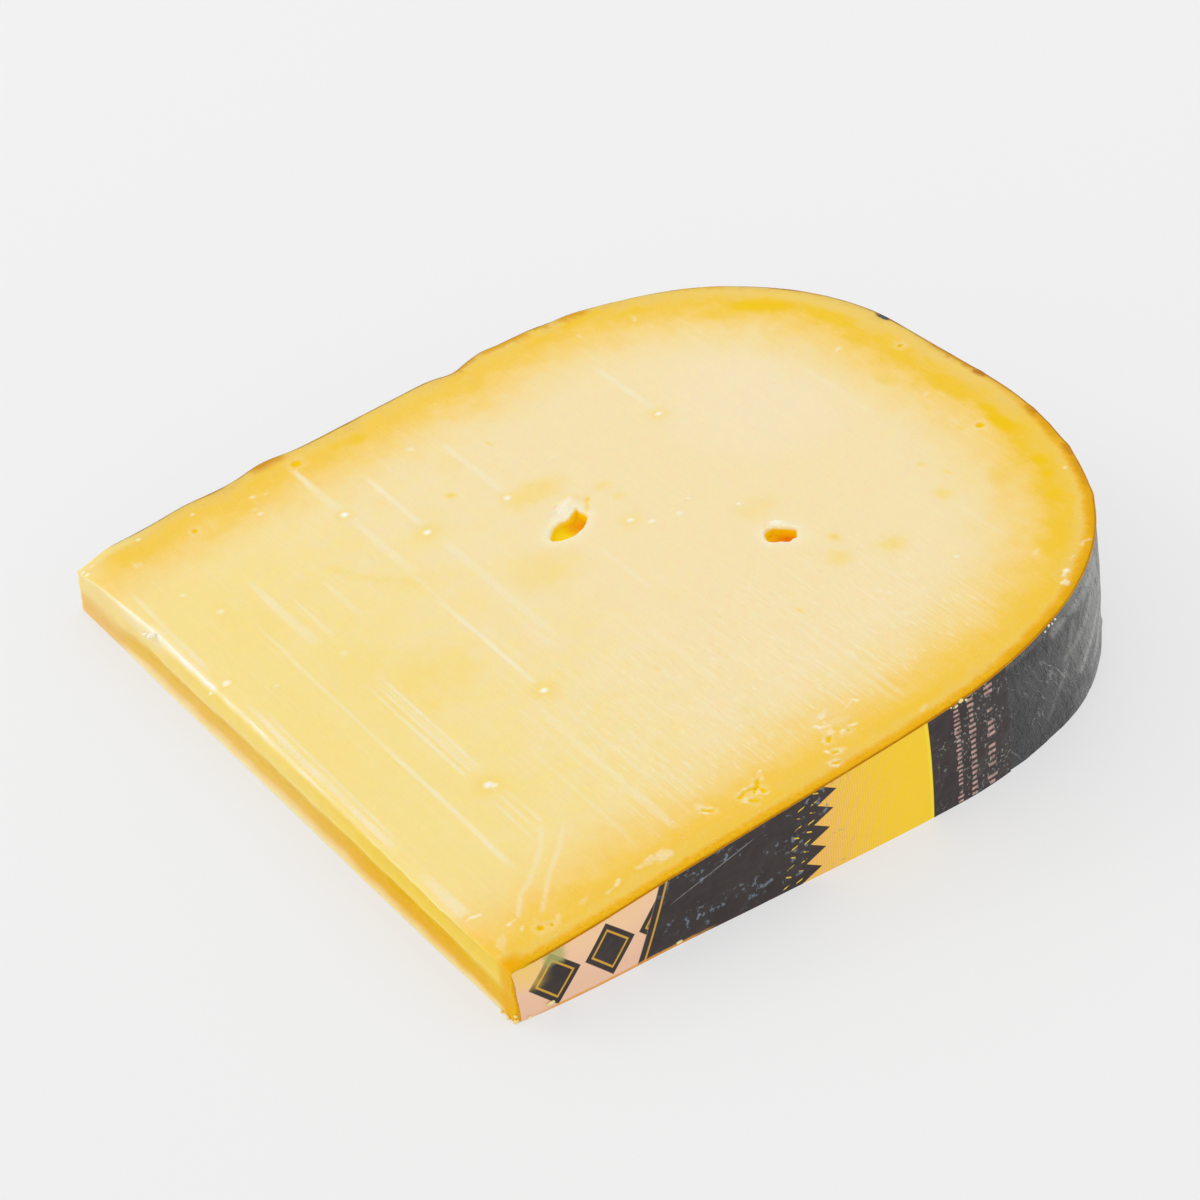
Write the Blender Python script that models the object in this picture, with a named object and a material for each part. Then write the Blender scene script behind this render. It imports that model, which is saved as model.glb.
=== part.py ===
"""A thin wedge cut from a wheel of aged, black-coated cheese, with a strip of the wheel's label on one flank.

Metres, +Z up. The wheel's axis is parallel to Y. Both large faces are knife cuts through that axis, so the
slice is thin at its squared-off inner end and thick at the rim, and it lies on one of the two cuts. +X points
from the inner end to the rim. The origin is at the bottom centre of the box around the slice. The outline
below is drawn on a cut, as Vector((distance from the inner end, distance from the wheel's mid-plane)).
"""

import math

import bmesh
import bpy
from mathutils import Matrix, Vector

# The wheel that the slice was cut from, and how it was cut.
WHEEL_RADIUS = 0.175
WHEEL_HEIGHT = 0.110
INNER_END = 0.0623  # from the wheel's axis to the slice's squared-off end
WEDGE_ANGLE = math.radians(6.93)
SLICE_LENGTH = WHEEL_RADIUS - INNER_END
INNER_THICKNESS = INNER_END * math.tan(WEDGE_ANGLE)
SPIN_STEPS = 4

# The wheel bulges unevenly. Each shoulder is a superellipse from its flank, at start, to the rim, at level.
NEAR_SHOULDER = {"start": 0.042, "level": -0.005, "power_along": 3.8, "power_across": 1.85}
FAR_SHOULDER = {"start": 0.070, "level": 0.015, "power_along": 2.0, "power_across": 2.05}
SHOULDER_SAMPLES = 400
POINT_SPACING = 0.0016

# The flanks draw in at the dried inner end.
CORNER_DROOP = 0.0007
CORNER_DROOP_LENGTH = 0.005

# Swellings and dents in the far flank's coating: place along the flank, height outwards, half-width.
FLANK_WAVES = (
    (0.018, 0.0005, 0.0040),
    (0.032, 0.0011, 0.0032),
    (0.062, -0.0010, 0.0025),
    (0.068, 0.0004, 0.0020),
    (0.079, -0.0005, 0.0020),
)

# The inner end was cut from both sides, which left a ledge over a hollow: (height, depth) up the end face.
END_PROFILE = (
    (0.0000, 0.0000),
    (0.0008, 0.0007),
    (0.0018, 0.0011),
    (0.0032, 0.0010),
    (0.0042, 0.0006),
    (0.0047, 0.0000),
    (0.0060, 0.0001),
    (0.0070, 0.0004),
    (0.0076, 0.0014),
    (0.0090, 0.0040),
)
END_FADE_START = 0.036  # the ledge dies out from here to the corners
END_CORNER_SHARE = 0.25
CUTTER_MARGIN = 0.002
CUTTER_REACH = 0.012
CUTTER_ROWS = 24
CUTTER_COLUMNS = 40

# The eyes opened by the cut.
EYES = (
    {"along": 0.0530, "across": 0.0109, "length": 0.0074, "width": 0.0042, "depth": 0.0024, "turn": 28},
    {"along": 0.0713, "across": -0.0121, "length": 0.0052, "width": 0.0034, "depth": 0.0022, "turn": -60},
)
EYE_SEGMENTS = 20
EYE_RINGS = 12

# The label covers the wheel's flat face out to a fixed radius. It is set in flush with the coating.
LABEL_START = 0.0006
LABEL_END = 0.074
LABEL_THICKNESS = 0.0003
LABEL_GAP = 0.0003


def clear_scene():
    for obj in list(bpy.data.objects):
        bpy.data.objects.remove(obj)


def material(name, colour, roughness):
    made = bpy.data.materials.new(name)
    made.use_nodes = True
    shader = made.node_tree.nodes["Principled BSDF"]
    shader.inputs["Base Color"].default_value = (*colour, 1.0)
    shader.inputs["Roughness"].default_value = roughness
    shader.inputs["Metallic"].default_value = 0.0
    return made


def shoulder(shape, side):
    """The inner corner of one flank, then the flank's end and the curve from there to the rim."""
    flank = side * WHEEL_HEIGHT / 2
    points = [Vector((0, flank))]
    for i in range(SHOULDER_SAMPLES):
        turn = i / (SHOULDER_SAMPLES - 1) * math.pi / 2
        along = math.sin(turn) ** (2 / shape["power_along"])
        across = math.cos(turn) ** (2 / shape["power_across"])
        x = shape["start"] + (SLICE_LENGTH - shape["start"]) * along
        y = shape["level"] + (flank - shape["level"]) * across
        points.append(Vector((x, y)))
    return points


def evenly_spaced(points, spacing):
    reached = [0.0]
    for a, b in zip(points, points[1:]):
        reached.append(reached[-1] + (b - a).length)
    steps = round(reached[-1] / spacing)
    spaced = []
    i = 0
    for step in range(steps + 1):
        wanted = reached[-1] * step / steps
        while i < len(points) - 2 and reached[i + 1] < wanted:
            i += 1
        share = (wanted - reached[i]) / (reached[i + 1] - reached[i])
        spaced.append(points[i].lerp(points[i + 1], share))
    return spaced


def coating_wave(x):
    """How far the far flank stands out at this place along it."""
    return sum(height * math.exp(-(((x - place) / width) ** 2)) for place, height, width in FLANK_WAVES)


def outline():
    """The slice's outline, from the near inner corner round the rim to the far inner corner."""
    near = shoulder(NEAR_SHOULDER, -1)
    far = shoulder(FAR_SHOULDER, 1)
    points = evenly_spaced(near + far[::-1], POINT_SPACING)
    for point in points:
        if abs(point.y) > WHEEL_HEIGHT / 4:
            droop = CORNER_DROOP * math.exp(-point.x / CORNER_DROOP_LENGTH)
            point.y -= math.copysign(droop, point.y)
        if point.y > WHEEL_HEIGHT / 4:
            point.y += coating_wave(point.x)
    return points


def near_flank(points, start, end):
    """The outline's stretch along the near flank between two places, with its two ends added."""
    half = points[: len(points) // 2]
    crossings = []
    for place in (start, end):
        after = next(i for i, point in enumerate(half) if point.x > place)
        a, b = half[after - 1], half[after]
        crossings.append(a.lerp(b, (place - a.x) / (b.x - a.x)))
    return [crossings[0], *[point for point in half if start < point.x < end], crossings[1]]


def inset(points, depth):
    """The points moved into the slice, at right angles to the line that they follow."""
    moved = []
    for i, point in enumerate(points):
        along = points[min(i + 1, len(points) - 1)] - points[max(i - 1, 0)]
        moved.append(point + Vector((-along.y, along.x)).normalized() * depth)
    return moved


def box_middle(points):
    """The middle of the box round the outline, where the origin is."""
    across = [point.y for point in points]
    return Vector((SLICE_LENGTH / 2, (min(across) + max(across)) / 2))


def to_object(name, bm):
    mesh = bpy.data.meshes.new(name)
    bm.to_mesh(mesh)
    bm.free()
    return bpy.data.objects.new(name, mesh)


def turned_solid(name, ring, middle):
    """The solid swept by a closed ring as it turns about the wheel's axis, from the lower cut to the upper."""
    bm = bmesh.new()
    verts = [bm.verts.new((point.x - middle.x, point.y - middle.y, 0)) for point in ring]
    for a, b in zip(verts, verts[1:] + verts[:1]):
        bm.edges.new((a, b))
    bmesh.ops.spin(
        bm,
        geom=bm.verts[:] + bm.edges[:],
        cent=(-INNER_END - middle.x, 0, 0),
        axis=(0, -1, 0),
        angle=WEDGE_ANGLE,
        steps=SPIN_STEPS,
    )
    bmesh.ops.holes_fill(bm, edges=bm.edges[:], sides=0)
    bmesh.ops.recalc_face_normals(bm, faces=bm.faces[:])
    return to_object(name, bm)


def end_depth(across, height):
    """How far the inner end is hollowed at this place across the slice and height."""
    above = next((i for i, (level, _) in enumerate(END_PROFILE) if level > height), len(END_PROFILE) - 1)
    below = max(above - 1, 0)
    (low, low_depth), (high, high_depth) = END_PROFILE[below], END_PROFILE[max(above, 1)]
    share = min(1.0, max(0.0, (height - low) / (high - low)))
    depth = low_depth + (high_depth - low_depth) * share
    fade = (abs(across) - END_FADE_START) / (WHEEL_HEIGHT / 2 - END_FADE_START)
    fade = min(1.0, max(0.0, fade))
    return depth * (1 - (1 - END_CORNER_SHARE) * fade * fade * (3 - 2 * fade))


def end_cutter(middle):
    """A slab whose inner side is the sculpted face that the knife left."""
    bm = bmesh.new()
    bmesh.ops.create_grid(bm, x_segments=CUTTER_COLUMNS, y_segments=CUTTER_ROWS, size=1)
    half_width = WHEEL_HEIGHT / 2 + CUTTER_MARGIN
    low = -CUTTER_MARGIN
    high = INNER_THICKNESS + CUTTER_MARGIN
    for vert in bm.verts:
        across = vert.co.x * half_width
        height = low + (high - low) * (vert.co.y + 1) / 2
        vert.co = (end_depth(across, height) - middle.x, across, height)
    extruded = bmesh.ops.extrude_face_region(bm, geom=bm.faces[:])["geom"]
    for vert in (item for item in extruded if isinstance(item, bmesh.types.BMVert)):
        vert.co.x = -middle.x - CUTTER_REACH
    bmesh.ops.recalc_face_normals(bm, faces=bm.faces[:])
    return to_object("end_cutter", bm)


def eye_cutter(name, eye, middle):
    """An egg-shaped cutter with its middle on the upper cut, lying along that cut's slope."""
    bm = bmesh.new()
    shape = Matrix.Diagonal((eye["length"] / 2, eye["width"] / 2, eye["depth"], 1))
    bmesh.ops.create_uvsphere(bm, u_segments=EYE_SEGMENTS, v_segments=EYE_RINGS, radius=1, matrix=shape)
    obj = to_object(name, bm)
    radius = INNER_END + eye["along"]
    obj.location = (
        radius * math.cos(WEDGE_ANGLE) - INNER_END - middle.x,
        eye["across"] - middle.y,
        radius * math.sin(WEDGE_ANGLE),
    )
    slope = Matrix.Rotation(-WEDGE_ANGLE, 3, "Y") @ Matrix.Rotation(math.radians(eye["turn"]), 3, "Z")
    obj.rotation_euler = slope.to_euler()
    return obj


def cut(obj, cutter):
    modifier = obj.modifiers.new(cutter.name, "BOOLEAN")
    modifier.operation = "DIFFERENCE"
    modifier.solver = "EXACT"
    modifier.object = cutter


def cheese(points, middle):
    """The slice, stepped in along the near flank to seat the label, and over-long at the end to be cut back."""
    seat_end = LABEL_END + LABEL_GAP
    seat = near_flank(points, points[0].x, seat_end)
    beyond = points[next(i for i, point in enumerate(points) if point.x > seat_end) :]
    ring = [*inset(seat, LABEL_THICKNESS + LABEL_GAP), seat[-1], *beyond]
    ring[0].x -= CUTTER_MARGIN
    ring[-1] = ring[-1] - Vector((CUTTER_MARGIN, 0))
    return turned_solid("cheese", ring, middle)


def label(points, middle):
    """The strip of the label that the slice carries, wrapped round the start of the near shoulder."""
    outer = near_flank(points, LABEL_START, LABEL_END)
    return turned_solid("label", outer + inset(outer, LABEL_THICKNESS)[::-1], middle)


def main():
    clear_scene()
    parts = bpy.data.collections.new("cheese_wedge")
    cutters = bpy.data.collections.new("cutters")
    for collection in (parts, cutters):
        bpy.context.scene.collection.children.link(collection)

    points = outline()
    middle = box_middle(points)

    body = cheese(points, middle)
    body.data.materials.append(material("cheese", (0.93, 0.74, 0.36), 0.45))
    parts.objects.link(body)

    strip = label(points, middle)
    strip.data.materials.append(material("label", (0.05, 0.045, 0.045), 0.35))
    parts.objects.link(strip)

    tools = [end_cutter(middle)]
    tools += [eye_cutter(f"eye_cutter_{i}", eye, middle) for i, eye in enumerate(EYES, 1)]
    for tool in tools:
        tool.hide_render = True
        tool.display_type = "WIRE"
        cutters.objects.link(tool)
        cut(body, tool)


main()
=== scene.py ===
"""The looks of a thin wedge of aged, black-coated cheese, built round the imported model.

Lengths here are millimetres, and MM turns them into metres. A place on a cut face is given as along, the
distance from the slice's squared-off inner end, and across, the distance from the wheel's mid-plane: the
labelled flank is at negative across. Both cuts pass through the wheel's axis, which is parallel to Y.
"""

import math

import bpy
import numpy as np
from mathutils import Matrix, Vector, kdtree
from mathutils.geometry import delaunay_2d_cdt


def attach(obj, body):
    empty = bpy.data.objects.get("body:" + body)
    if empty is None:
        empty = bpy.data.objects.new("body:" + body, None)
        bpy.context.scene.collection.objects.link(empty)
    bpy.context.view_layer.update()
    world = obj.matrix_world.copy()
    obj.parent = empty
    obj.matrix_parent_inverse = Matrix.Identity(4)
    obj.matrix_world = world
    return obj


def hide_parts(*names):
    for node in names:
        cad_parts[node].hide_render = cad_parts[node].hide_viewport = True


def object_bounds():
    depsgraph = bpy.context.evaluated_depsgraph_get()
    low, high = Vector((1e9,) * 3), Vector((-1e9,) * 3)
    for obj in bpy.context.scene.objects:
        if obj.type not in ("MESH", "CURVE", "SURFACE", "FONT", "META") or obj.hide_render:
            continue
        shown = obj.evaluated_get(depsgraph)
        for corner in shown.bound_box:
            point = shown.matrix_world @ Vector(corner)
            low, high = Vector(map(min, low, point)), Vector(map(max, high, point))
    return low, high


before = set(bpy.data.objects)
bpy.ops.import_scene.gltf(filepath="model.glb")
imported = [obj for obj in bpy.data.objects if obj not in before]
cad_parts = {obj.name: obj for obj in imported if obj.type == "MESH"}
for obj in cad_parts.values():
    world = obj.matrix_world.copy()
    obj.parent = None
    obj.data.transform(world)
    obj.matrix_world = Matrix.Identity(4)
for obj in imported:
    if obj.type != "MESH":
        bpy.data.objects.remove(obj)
cad_low, cad_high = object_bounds()

# The wheel that the slice was cut from. The slice's length, height and place come from the imported model's
# bounds.
MM = 0.001
WHEEL_RADIUS = 175.0
WHEEL_HEIGHT = 110.0
SLICE_LENGTH = (cad_high.x - cad_low.x) / MM
INNER_RADIUS = WHEEL_RADIUS - SLICE_LENGTH
WEDGE_ANGLE = math.asin((cad_high.z - cad_low.z) / MM / WHEEL_RADIUS)
END_X = cad_low.x / MM
MID_Y = cad_low.y / MM + WHEEL_HEIGHT / 2
FLANK = WHEEL_HEIGHT / 2

# The outline on a cut: a superellipse shoulder from each flank, at start, to the rim, at level.
NEAR_SHOULDER = {"start": 42.0, "level": -5.0, "power_along": 3.8, "power_across": 1.85}
FAR_SHOULDER = {"start": 70.0, "level": 15.0, "power_along": 2.0, "power_across": 2.05}
CORNER_DROOP = 0.7
CORNER_DROOP_LENGTH = 5.0
# (along, how far in): the labelled flank's hollow.
NEAR_HOLLOW = (
    (0, 0),
    (12, 0.15),
    (22, 0.4),
    (34, 0.3),
    (62, 0.25),
    (68, 0.15),
    (76, 0.4),
    (83, 0.6),
    (92, 0.4),
    (102, 0),
)
# (along, height, width): the far flank's waves.
FLANK_WAVES = (
    (18, 0.5, 4.0),
    (31, 1.0, 3.8),
    (50, 0.3, 60.0),
    (62, -1.0, 2.5),
    (68, 0.4, 2.0),
    (79, -0.3, 2.0),
    (81, 0.3, 6.0),
    (98, 0.4, 6.0),
)
# (along, across, height, width): kinks in the rim.
RIM_KINKS = (
    (110.8, -14.6, 0.25, 1.0),
    (108.9, -24.9, 0.18, 1.6),
    (112.0, -3.0, 0.15, 1.0),
    (104.0, -35.0, 0.15, 1.5),
)

# The black coating, and the label on it. The coating stops short of the inner end's two corners.
COAT = 0.22
COAT_START_NEAR = 1.3
COAT_START_FAR = 5.5
COAT_RISE = 1.2  # the coating reaches its full thickness this far from its start
COAT_CHIP = (18.0, 0.45, 1.5)  # where a wider strip of coating shows at the rim: (across, extra depth, reach)
LABEL_START = 0.3
LABEL_END = 74.0
LABEL_THICKNESS = 0.12
STRIP_TOP = 0.155  # how far below the cut's plane the label and the coating under it end
EDGE_DROOP = 0.10  # how far the cut's edge sinks below its plane
SLUMP_AT, SLUMP_REACH = 94, 14  # where the near shoulder's coating sags, along
SINK = 0.04  # how far the coating under the label stands back from the label's inner side

# The inner end, cut from both sides: (height, depth) from the foot up to the facet under the glossy crease.
END_PROFILE = (
    (0.00, 0.00),
    (0.12, -0.22),
    (0.34, -0.28),
    (0.54, -0.18),
    (0.72, 0.22),
    (1.00, 0.48),
    (1.50, 0.80),
    (2.20, 0.95),
    (3.00, 0.78),
    (3.80, 0.45),
    (4.40, 0.12),
    (4.80, -0.04),
    (5.00, -0.02),
    (5.60, 0.04),
    (6.40, 0.16),
)
# (rise, run) from the facet to the crease.
END_CREST = ((0.45, 0.22), (0.72, 0.45), (0.90, 0.70), (1.00, 1.00))
# (across, depth of the crease, share of the hollow): the hollow dies out towards both corners.
END_ALONG = (
    (-55.0, 0.05, 0.10),
    (-48.0, -0.05, 0.35),
    (-40.0, -0.20, 0.85),
    (-28.0, 0.05, 1.00),
    (-12.0, 0.70, 1.00),
    (0.0, 0.95, 1.00),
    (15.0, 0.90, 1.00),
    (34.0, 0.95, 0.95),
    (40.0, 0.60, 0.45),
    (44.0, 0.35, 0.10),
    (50.0, 0.00, 0.05),
    (55.0, -0.15, 0.02),
)
FAR_CORNER_DROOP = 1.1
FAR_CORNER_REACH = 6.5
END_DROOP = 0.12  # how far the cut sinks towards the crease
END_DROOP_REACH = 2.2

# The painted highlight on the crease under the upper cut, laid as white colour: (across, strength, half
# width).
CREASE_HIGHLIGHT = (
    (-55.0, 0.00, 0.12),
    (-32.0, 0.05, 0.20),
    (-14.0, 0.30, 0.35),
    (-4.0, 0.55, 0.45),
    (6.0, 0.55, 0.50),
    (13.0, 0.65, 0.50),
    (15.6, 0.35, 0.45),
    (17.0, 0.95, 0.60),
    (25.0, 1.00, 0.62),
    (32.0, 0.95, 0.75),
    (35.0, 0.80, 0.50),
    (46.0, 0.50, 0.30),
    (53.0, 0.35, 0.22),
)

# The eyes opened by the cut. The knife pulled flakes into them from the far side. The mesh is finer in the
# patch (along, across, radius).
EYES = (
    {
        "hole": (
            (50.0, 11.1), (50.8, 11.9), (52.0, 12.5), (53.1, 12.6), (53.9, 12.4), (54.5, 12.8), (55.3, 13.3),
            (56.1, 13.6), (55.8, 12.4), (56.0, 11.6), (56.1, 10.9), (55.3, 10.0), (54.3, 9.2), (53.1, 8.6),
            (51.9, 8.4), (50.9, 8.7), (50.0, 9.0), (49.5, 9.6), (49.5, 10.5),
        ),
        "depth": 1.5,
        "floor": 0.46,
        "deepest": (54.6, 10.8),
        "reach": 2.3,
        "flap": (54.2, 14.4, 3.4, 1.7, 32.0),
        "mound": (55.2, 15.0, 2.2, 0.9, 35.0),
        "tail": ((56.0, 11.2), (56.7, 11.9), (57.2, 12.7), (57.6, 13.5), (58.2, 14.0)),
        "patch": (54.6, 12.6, 6.3),
    },
    {
        "hole": (
            (69.5, -10.5), (70.4, -9.6), (71.4, -9.8), (72.1, -10.7), (72.8, -11.6), (73.5, -12.6),
            (72.6, -13.2), (72.5, -14.1), (71.7, -13.8), (71.1, -14.1), (70.3, -13.1), (69.8, -12.9),
            (69.1, -12.0),
        ),
        "depth": 2.0,
        "floor": 0.50,
        "deepest": (71.4, -12.8),
        "reach": 2.0,
        "flap": (72.6, -9.7, 1.8, 0.8, -45.0),
        "mound": (72.4, -9.5, 1.2, 0.6, -45.0),
        "tail": ((70.5, -9.6), (70.9, -9.1)),
        "patch": (71.7, -11.2, 3.8),
    },
)

# Pale lines that the knife drew: (along, from across, to across, width there, width here, strength).
STREAKS = (
    (2.0, 43, 20, 0.5, 0.7, 0.6),
    (2.4, 13, -28, 0.6, 0.7, 0.8),
    (3.4, 9, -26, 0.4, 0.5, 0.5),
    (2.6, -33, -43, 0.8, 1.4, 0.8),
    (11.2, 25, -3, 0.3, 0.4, 0.6),
    (11.2, 1, -41, 0.35, 0.7, 0.7),
    (15.1, 34, 14, 0.8, 1.2, 0.6),
    (17.6, 25, 14, 0.3, 0.7, 0.45),
    (22.4, 26, 15, 0.5, 0.9, 0.35),
    (15.6, 3, -23, 0.3, 0.45, 0.7),
    (16.6, 2, -23, 0.3, 0.5, 0.6),
    (17.2, 2, -23, 0.3, 0.5, 0.5),
    (17.8, 3, -23, 0.3, 0.5, 0.75),
    (15.7, -28, -38, 0.3, 0.4, 0.55),
    (16.9, -27, -38, 0.3, 0.4, 0.6),
    (18.0, -28, -36, 0.3, 0.4, 0.5),
    (32.1, 52, 37, 0.6, 1.2, 0.7),
    (32.3, 35, 17, 0.8, 1.2, 0.5),
    (31.9, 18, 10, 0.5, 0.3, 0.4),
    (31.6, 11, -14, 0.5, 0.6, 0.95),
    (32.9, 2, -12, 0.8, 0.8, 0.3),
    (31.7, -17, -49, 0.5, 0.5, 0.35),
    (29.0, -17, -49, 0.9, 0.8, 0.4),
    (38.6, 42, 26, 0.6, 0.8, 0.7),
    (38.7, 22, -8, 1.0, 1.1, 0.5),
    (37.2, 3, -9, 0.8, 0.8, 0.25),
    (50.5, 41, 24, 0.7, 0.9, 0.6),
    (76.0, 40, 24, 0.7, 0.9, 0.6),
    (52.9, 4, -9, 0.6, 0.6, 0.4),
    (55.1, -3, -9, 0.6, 0.6, 0.25),
    (48.0, -14, -30, 0.7, 0.7, 0.35),
    (61.4, -27, -50, 0.3, 0.5, 0.35),
    (62.7, -18, -50, 0.3, 0.6, 0.35),
    (44.5, -14, -38, 0.25, 0.3, 0.35),
    (53.6, -18, -44, 0.25, 0.3, 0.3),
    (24.0, -22, -48, 0.25, 0.3, 0.35),
    (27.2, -14, -46, 0.25, 0.3, 0.35),
    (96.3, 18, 0, 0.7, 0.7, 0.3),
    (91.4, -24, -34, 0.5, 0.5, 0.35),
)
STREAK_LEAN = 0.02  # how far a streak drifts along for each millimetre across

# Crystals: (along, across, radius, radius of the yellow halo, strength).
CRYSTALS = (
    (32.8, 36.0, 0.70, 1.8, 1.0),
    (38.7, 23.9, 0.65, 2.8, 1.0),
    (50.6, 22.3, 0.60, 2.0, 0.8),
    (76.4, 22.8, 0.55, 2.3, 0.9),
    (31.2, -15.6, 0.55, 3.0, 1.0),
    (16.3, -25.6, 0.70, 3.4, 0.95),
    (16.7, -26.1, 0.55, 0.0, 0.8),
    (2.8, 16.2, 0.70, 1.4, 0.9),
    (9.7, 30.1, 0.65, 2.4, 0.45),
    (59.3, 5.4, 0.55, 2.6, 0.8),
    (61.2, 3.1, 0.60, 0.0, 0.7),
    (64.8, 1.7, 0.60, 0.0, 0.5),
    (67.5, 3.6, 0.40, 0.0, 0.4),
    (71.4, -2.5, 0.40, 0.0, 0.6),
    (7.8, 37.2, 0.45, 0.0, 0.5),
    (7.3, 10.8, 0.30, 0.0, 0.5),
    (17.0, 10.0, 0.70, 2.0, 0.3),
    (47.4, 42.3, 0.60, 0.0, 0.4),
    (17.8, 52.7, 0.40, 0.0, 0.6),
    (25.9, 49.8, 0.50, 0.0, 0.45),
    (24.7, 45.4, 0.55, 0.0, 0.45),
    (9.5, 53.3, 0.40, 0.0, 0.6),
    (83.7, -32.5, 0.40, 0.0, 0.5),
    (91.2, -44.8, 0.55, 0.0, 0.8),
    (105.5, -28.3, 0.35, 0.0, 0.5),
    (0.9, 52.6, 0.45, 0.0, 0.8),
    (0.8, 53.9, 0.35, 0.0, 0.6),
    (2.2, 53.8, 0.30, 0.0, 0.4),
)

# Golden spots in the paste: (along, across, half length, half width, strength).
GOLDEN_SPOTS = (
    (45.6, 29.1, 0.9, 0.9, 0.9),
    (53.8, 20.6, 5.2, 3.2, 0.50),
    (50.0, 35.0, 3.0, 3.0, 0.20),
    (72.5, -5.0, 3.5, 2.5, 0.25),
    (61.3, 14.8, 1.4, 1.4, 0.4),
    (61.5, 11.0, 1.0, 1.0, 0.4),
    (75.7, -17.9, 0.9, 0.9, 0.7),
    (73.3, -21.5, 2.0, 2.0, 0.45),
    (79.8, -24.3, 2.1, 2.1, 0.5),
    (91.2, -20.8, 1.3, 1.3, 0.5),
    (94.6, -17.7, 0.5, 0.5, 0.6),
    (93.3, -13.6, 0.6, 0.6, 0.5),
    (102.2, -11.5, 0.6, 0.6, 0.5),
    (43.6, -22.8, 0.6, 0.6, 0.4),
    (63.2, -26.4, 0.4, 0.5, 0.6),
    (55.9, 35.0, 0.4, 0.5, 0.6),
    (93.2, 4.3, 0.5, 0.5, 0.4),
    (12.0, 25.0, 6.0, 8.0, 0.10),
    (22.0, -2.0, 8.0, 8.0, 0.26),
    (17.0, 6.0, 5.0, 5.0, 0.20),
    (45.0, 5.5, 6.0, 5.0, 0.30),
    (6.0, -2.0, 3.5, 14.0, 0.10),
)

# Saturated stains towards the rind: (along, across, half length, half width, turn, strength).
AMBER_SPOTS = (
    (102.2, 33.6, 5.8, 2.2, -48, 1.1),
    (98.0, 36.0, 5.0, 2.0, -45, 0.6),
    (108.3, -20.0, 8.0, 2.2, 76, 0.35),
    (107.0, 23.5, 4.5, 1.6, -80, 0.65),
    (106.3, 15.5, 3.0, 1.5, -85, 0.35),
    (107.8, 9.0, 6.0, 1.4, 88, 0.40),
    (107.6, -2.0, 5.0, 1.8, 90, 0.60),
    (106.8, -14.4, 3.9, 1.3, 86, 1.1),
    (107.6, -10.6, 1.8, 1.0, 90, 1.0),
    (104.6, -24.3, 1.7, 1.0, 70, 1.1),
    (103.2, -27.6, 1.5, 1.0, 65, 1.1),
    (100.9, -31.4, 1.9, 1.0, 45, 1.0),
    (102.6, -29.0, 7.0, 3.0, 62, 0.45),
    (105.2, -19.6, 2.6, 1.0, 74, 0.60),
    (95.0, -38.6, 5.0, 2.2, 36, 0.60),
    (99.0, -23.6, 2.6, 2.2, 60, 0.35),
    (102.4, 5.4, 1.7, 2.2, 0, 0.40),
    (83.0, 51.0, 6.0, 1.0, -8, 0.8),
    (89.0, 47.0, 3.5, 1.5, -25, 0.5),
    (76.0, 51.6, 4.0, 0.8, 0, 0.5),
    (62.0, 52.4, 2.6, 0.9, 0, 0.6),
    (43.5, 50.5, 1.5, 1.1, 0, 0.7),
    (40.5, 51.0, 2.5, 0.8, 20, 0.4),
    (29.5, 53.2, 3.4, 0.7, 10, 0.6),
    (20.0, 46.8, 5.0, 1.2, 10, 0.30),
    (7.0, 50.5, 4.0, 1.2, 0, 0.20),
    (34.0, -52.4, 12.0, 0.8, 0, 0.4),
    (60.0, -51.6, 10.0, 0.8, 2, 0.4),
    (84.0, -47.6, 7.0, 1.6, 22, 0.4),
)

# Stains that hug the edge: (along, across, half length, depth, from 0 for amber to 1 for brown, strength).
EDGE_STAINS = (
    (22.0, 54.6, 3.0, 0.50, 0.7, 0.7),
    (31.5, 54.4, 3.4, 1.20, 0.5, 1.0),
    (43.0, 54.4, 7.0, 0.45, 0.4, 0.9),
    (56.0, 55.0, 4.0, 0.40, 0.4, 0.6),
    (64.0, 54.3, 3.0, 0.70, 0.4, 0.9),
    (71.5, 54.5, 5.0, 1.20, 0.25, 1.0),
    (77.0, 53.6, 1.8, 0.90, 0.2, 1.0),
    (82.0, 52.6, 3.0, 1.40, 0.2, 1.0),
    (98.0, 43.6, 5.0, 0.60, 0.2, 0.6),
    (107.5, 32.0, 5.0, 0.45, 0.35, 0.7),
    (112.0, 2.5, 6.0, 0.60, 0.4, 0.9),
    (111.6, -3.2, 1.8, 1.00, 0.9, 1.0),
    (111.2, -9.0, 3.0, 0.40, 0.4, 0.7),
    (110.8, -14.8, 1.6, 1.20, 0.5, 1.0),
    (110.0, -19.0, 4.4, 1.50, 0.15, 1.0),
    (108.6, -25.4, 2.0, 1.20, 0.5, 1.0),
    (106.8, -30.6, 4.5, 1.10, 0.3, 1.0),
    (101.5, -38.0, 6.5, 1.10, 0.05, 1.0),
    (92.0, -46.0, 7.0, 1.00, 0.05, 1.0),
    (80.0, -52.0, 8.0, 0.90, 0.05, 0.9),
)

# Tiny holes: (along, across, radius).
PITS = (
    (34.3, 51.9, 0.85),
    (16.2, 49.0, 0.50),
    (104.3, -12.6, 0.65),
    (109.2, 10.3, 0.45),
    (7.0, -50.7, 0.50),
    (8.3, -51.2, 0.30),
    (53.0, -49.1, 0.30),
)

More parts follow.
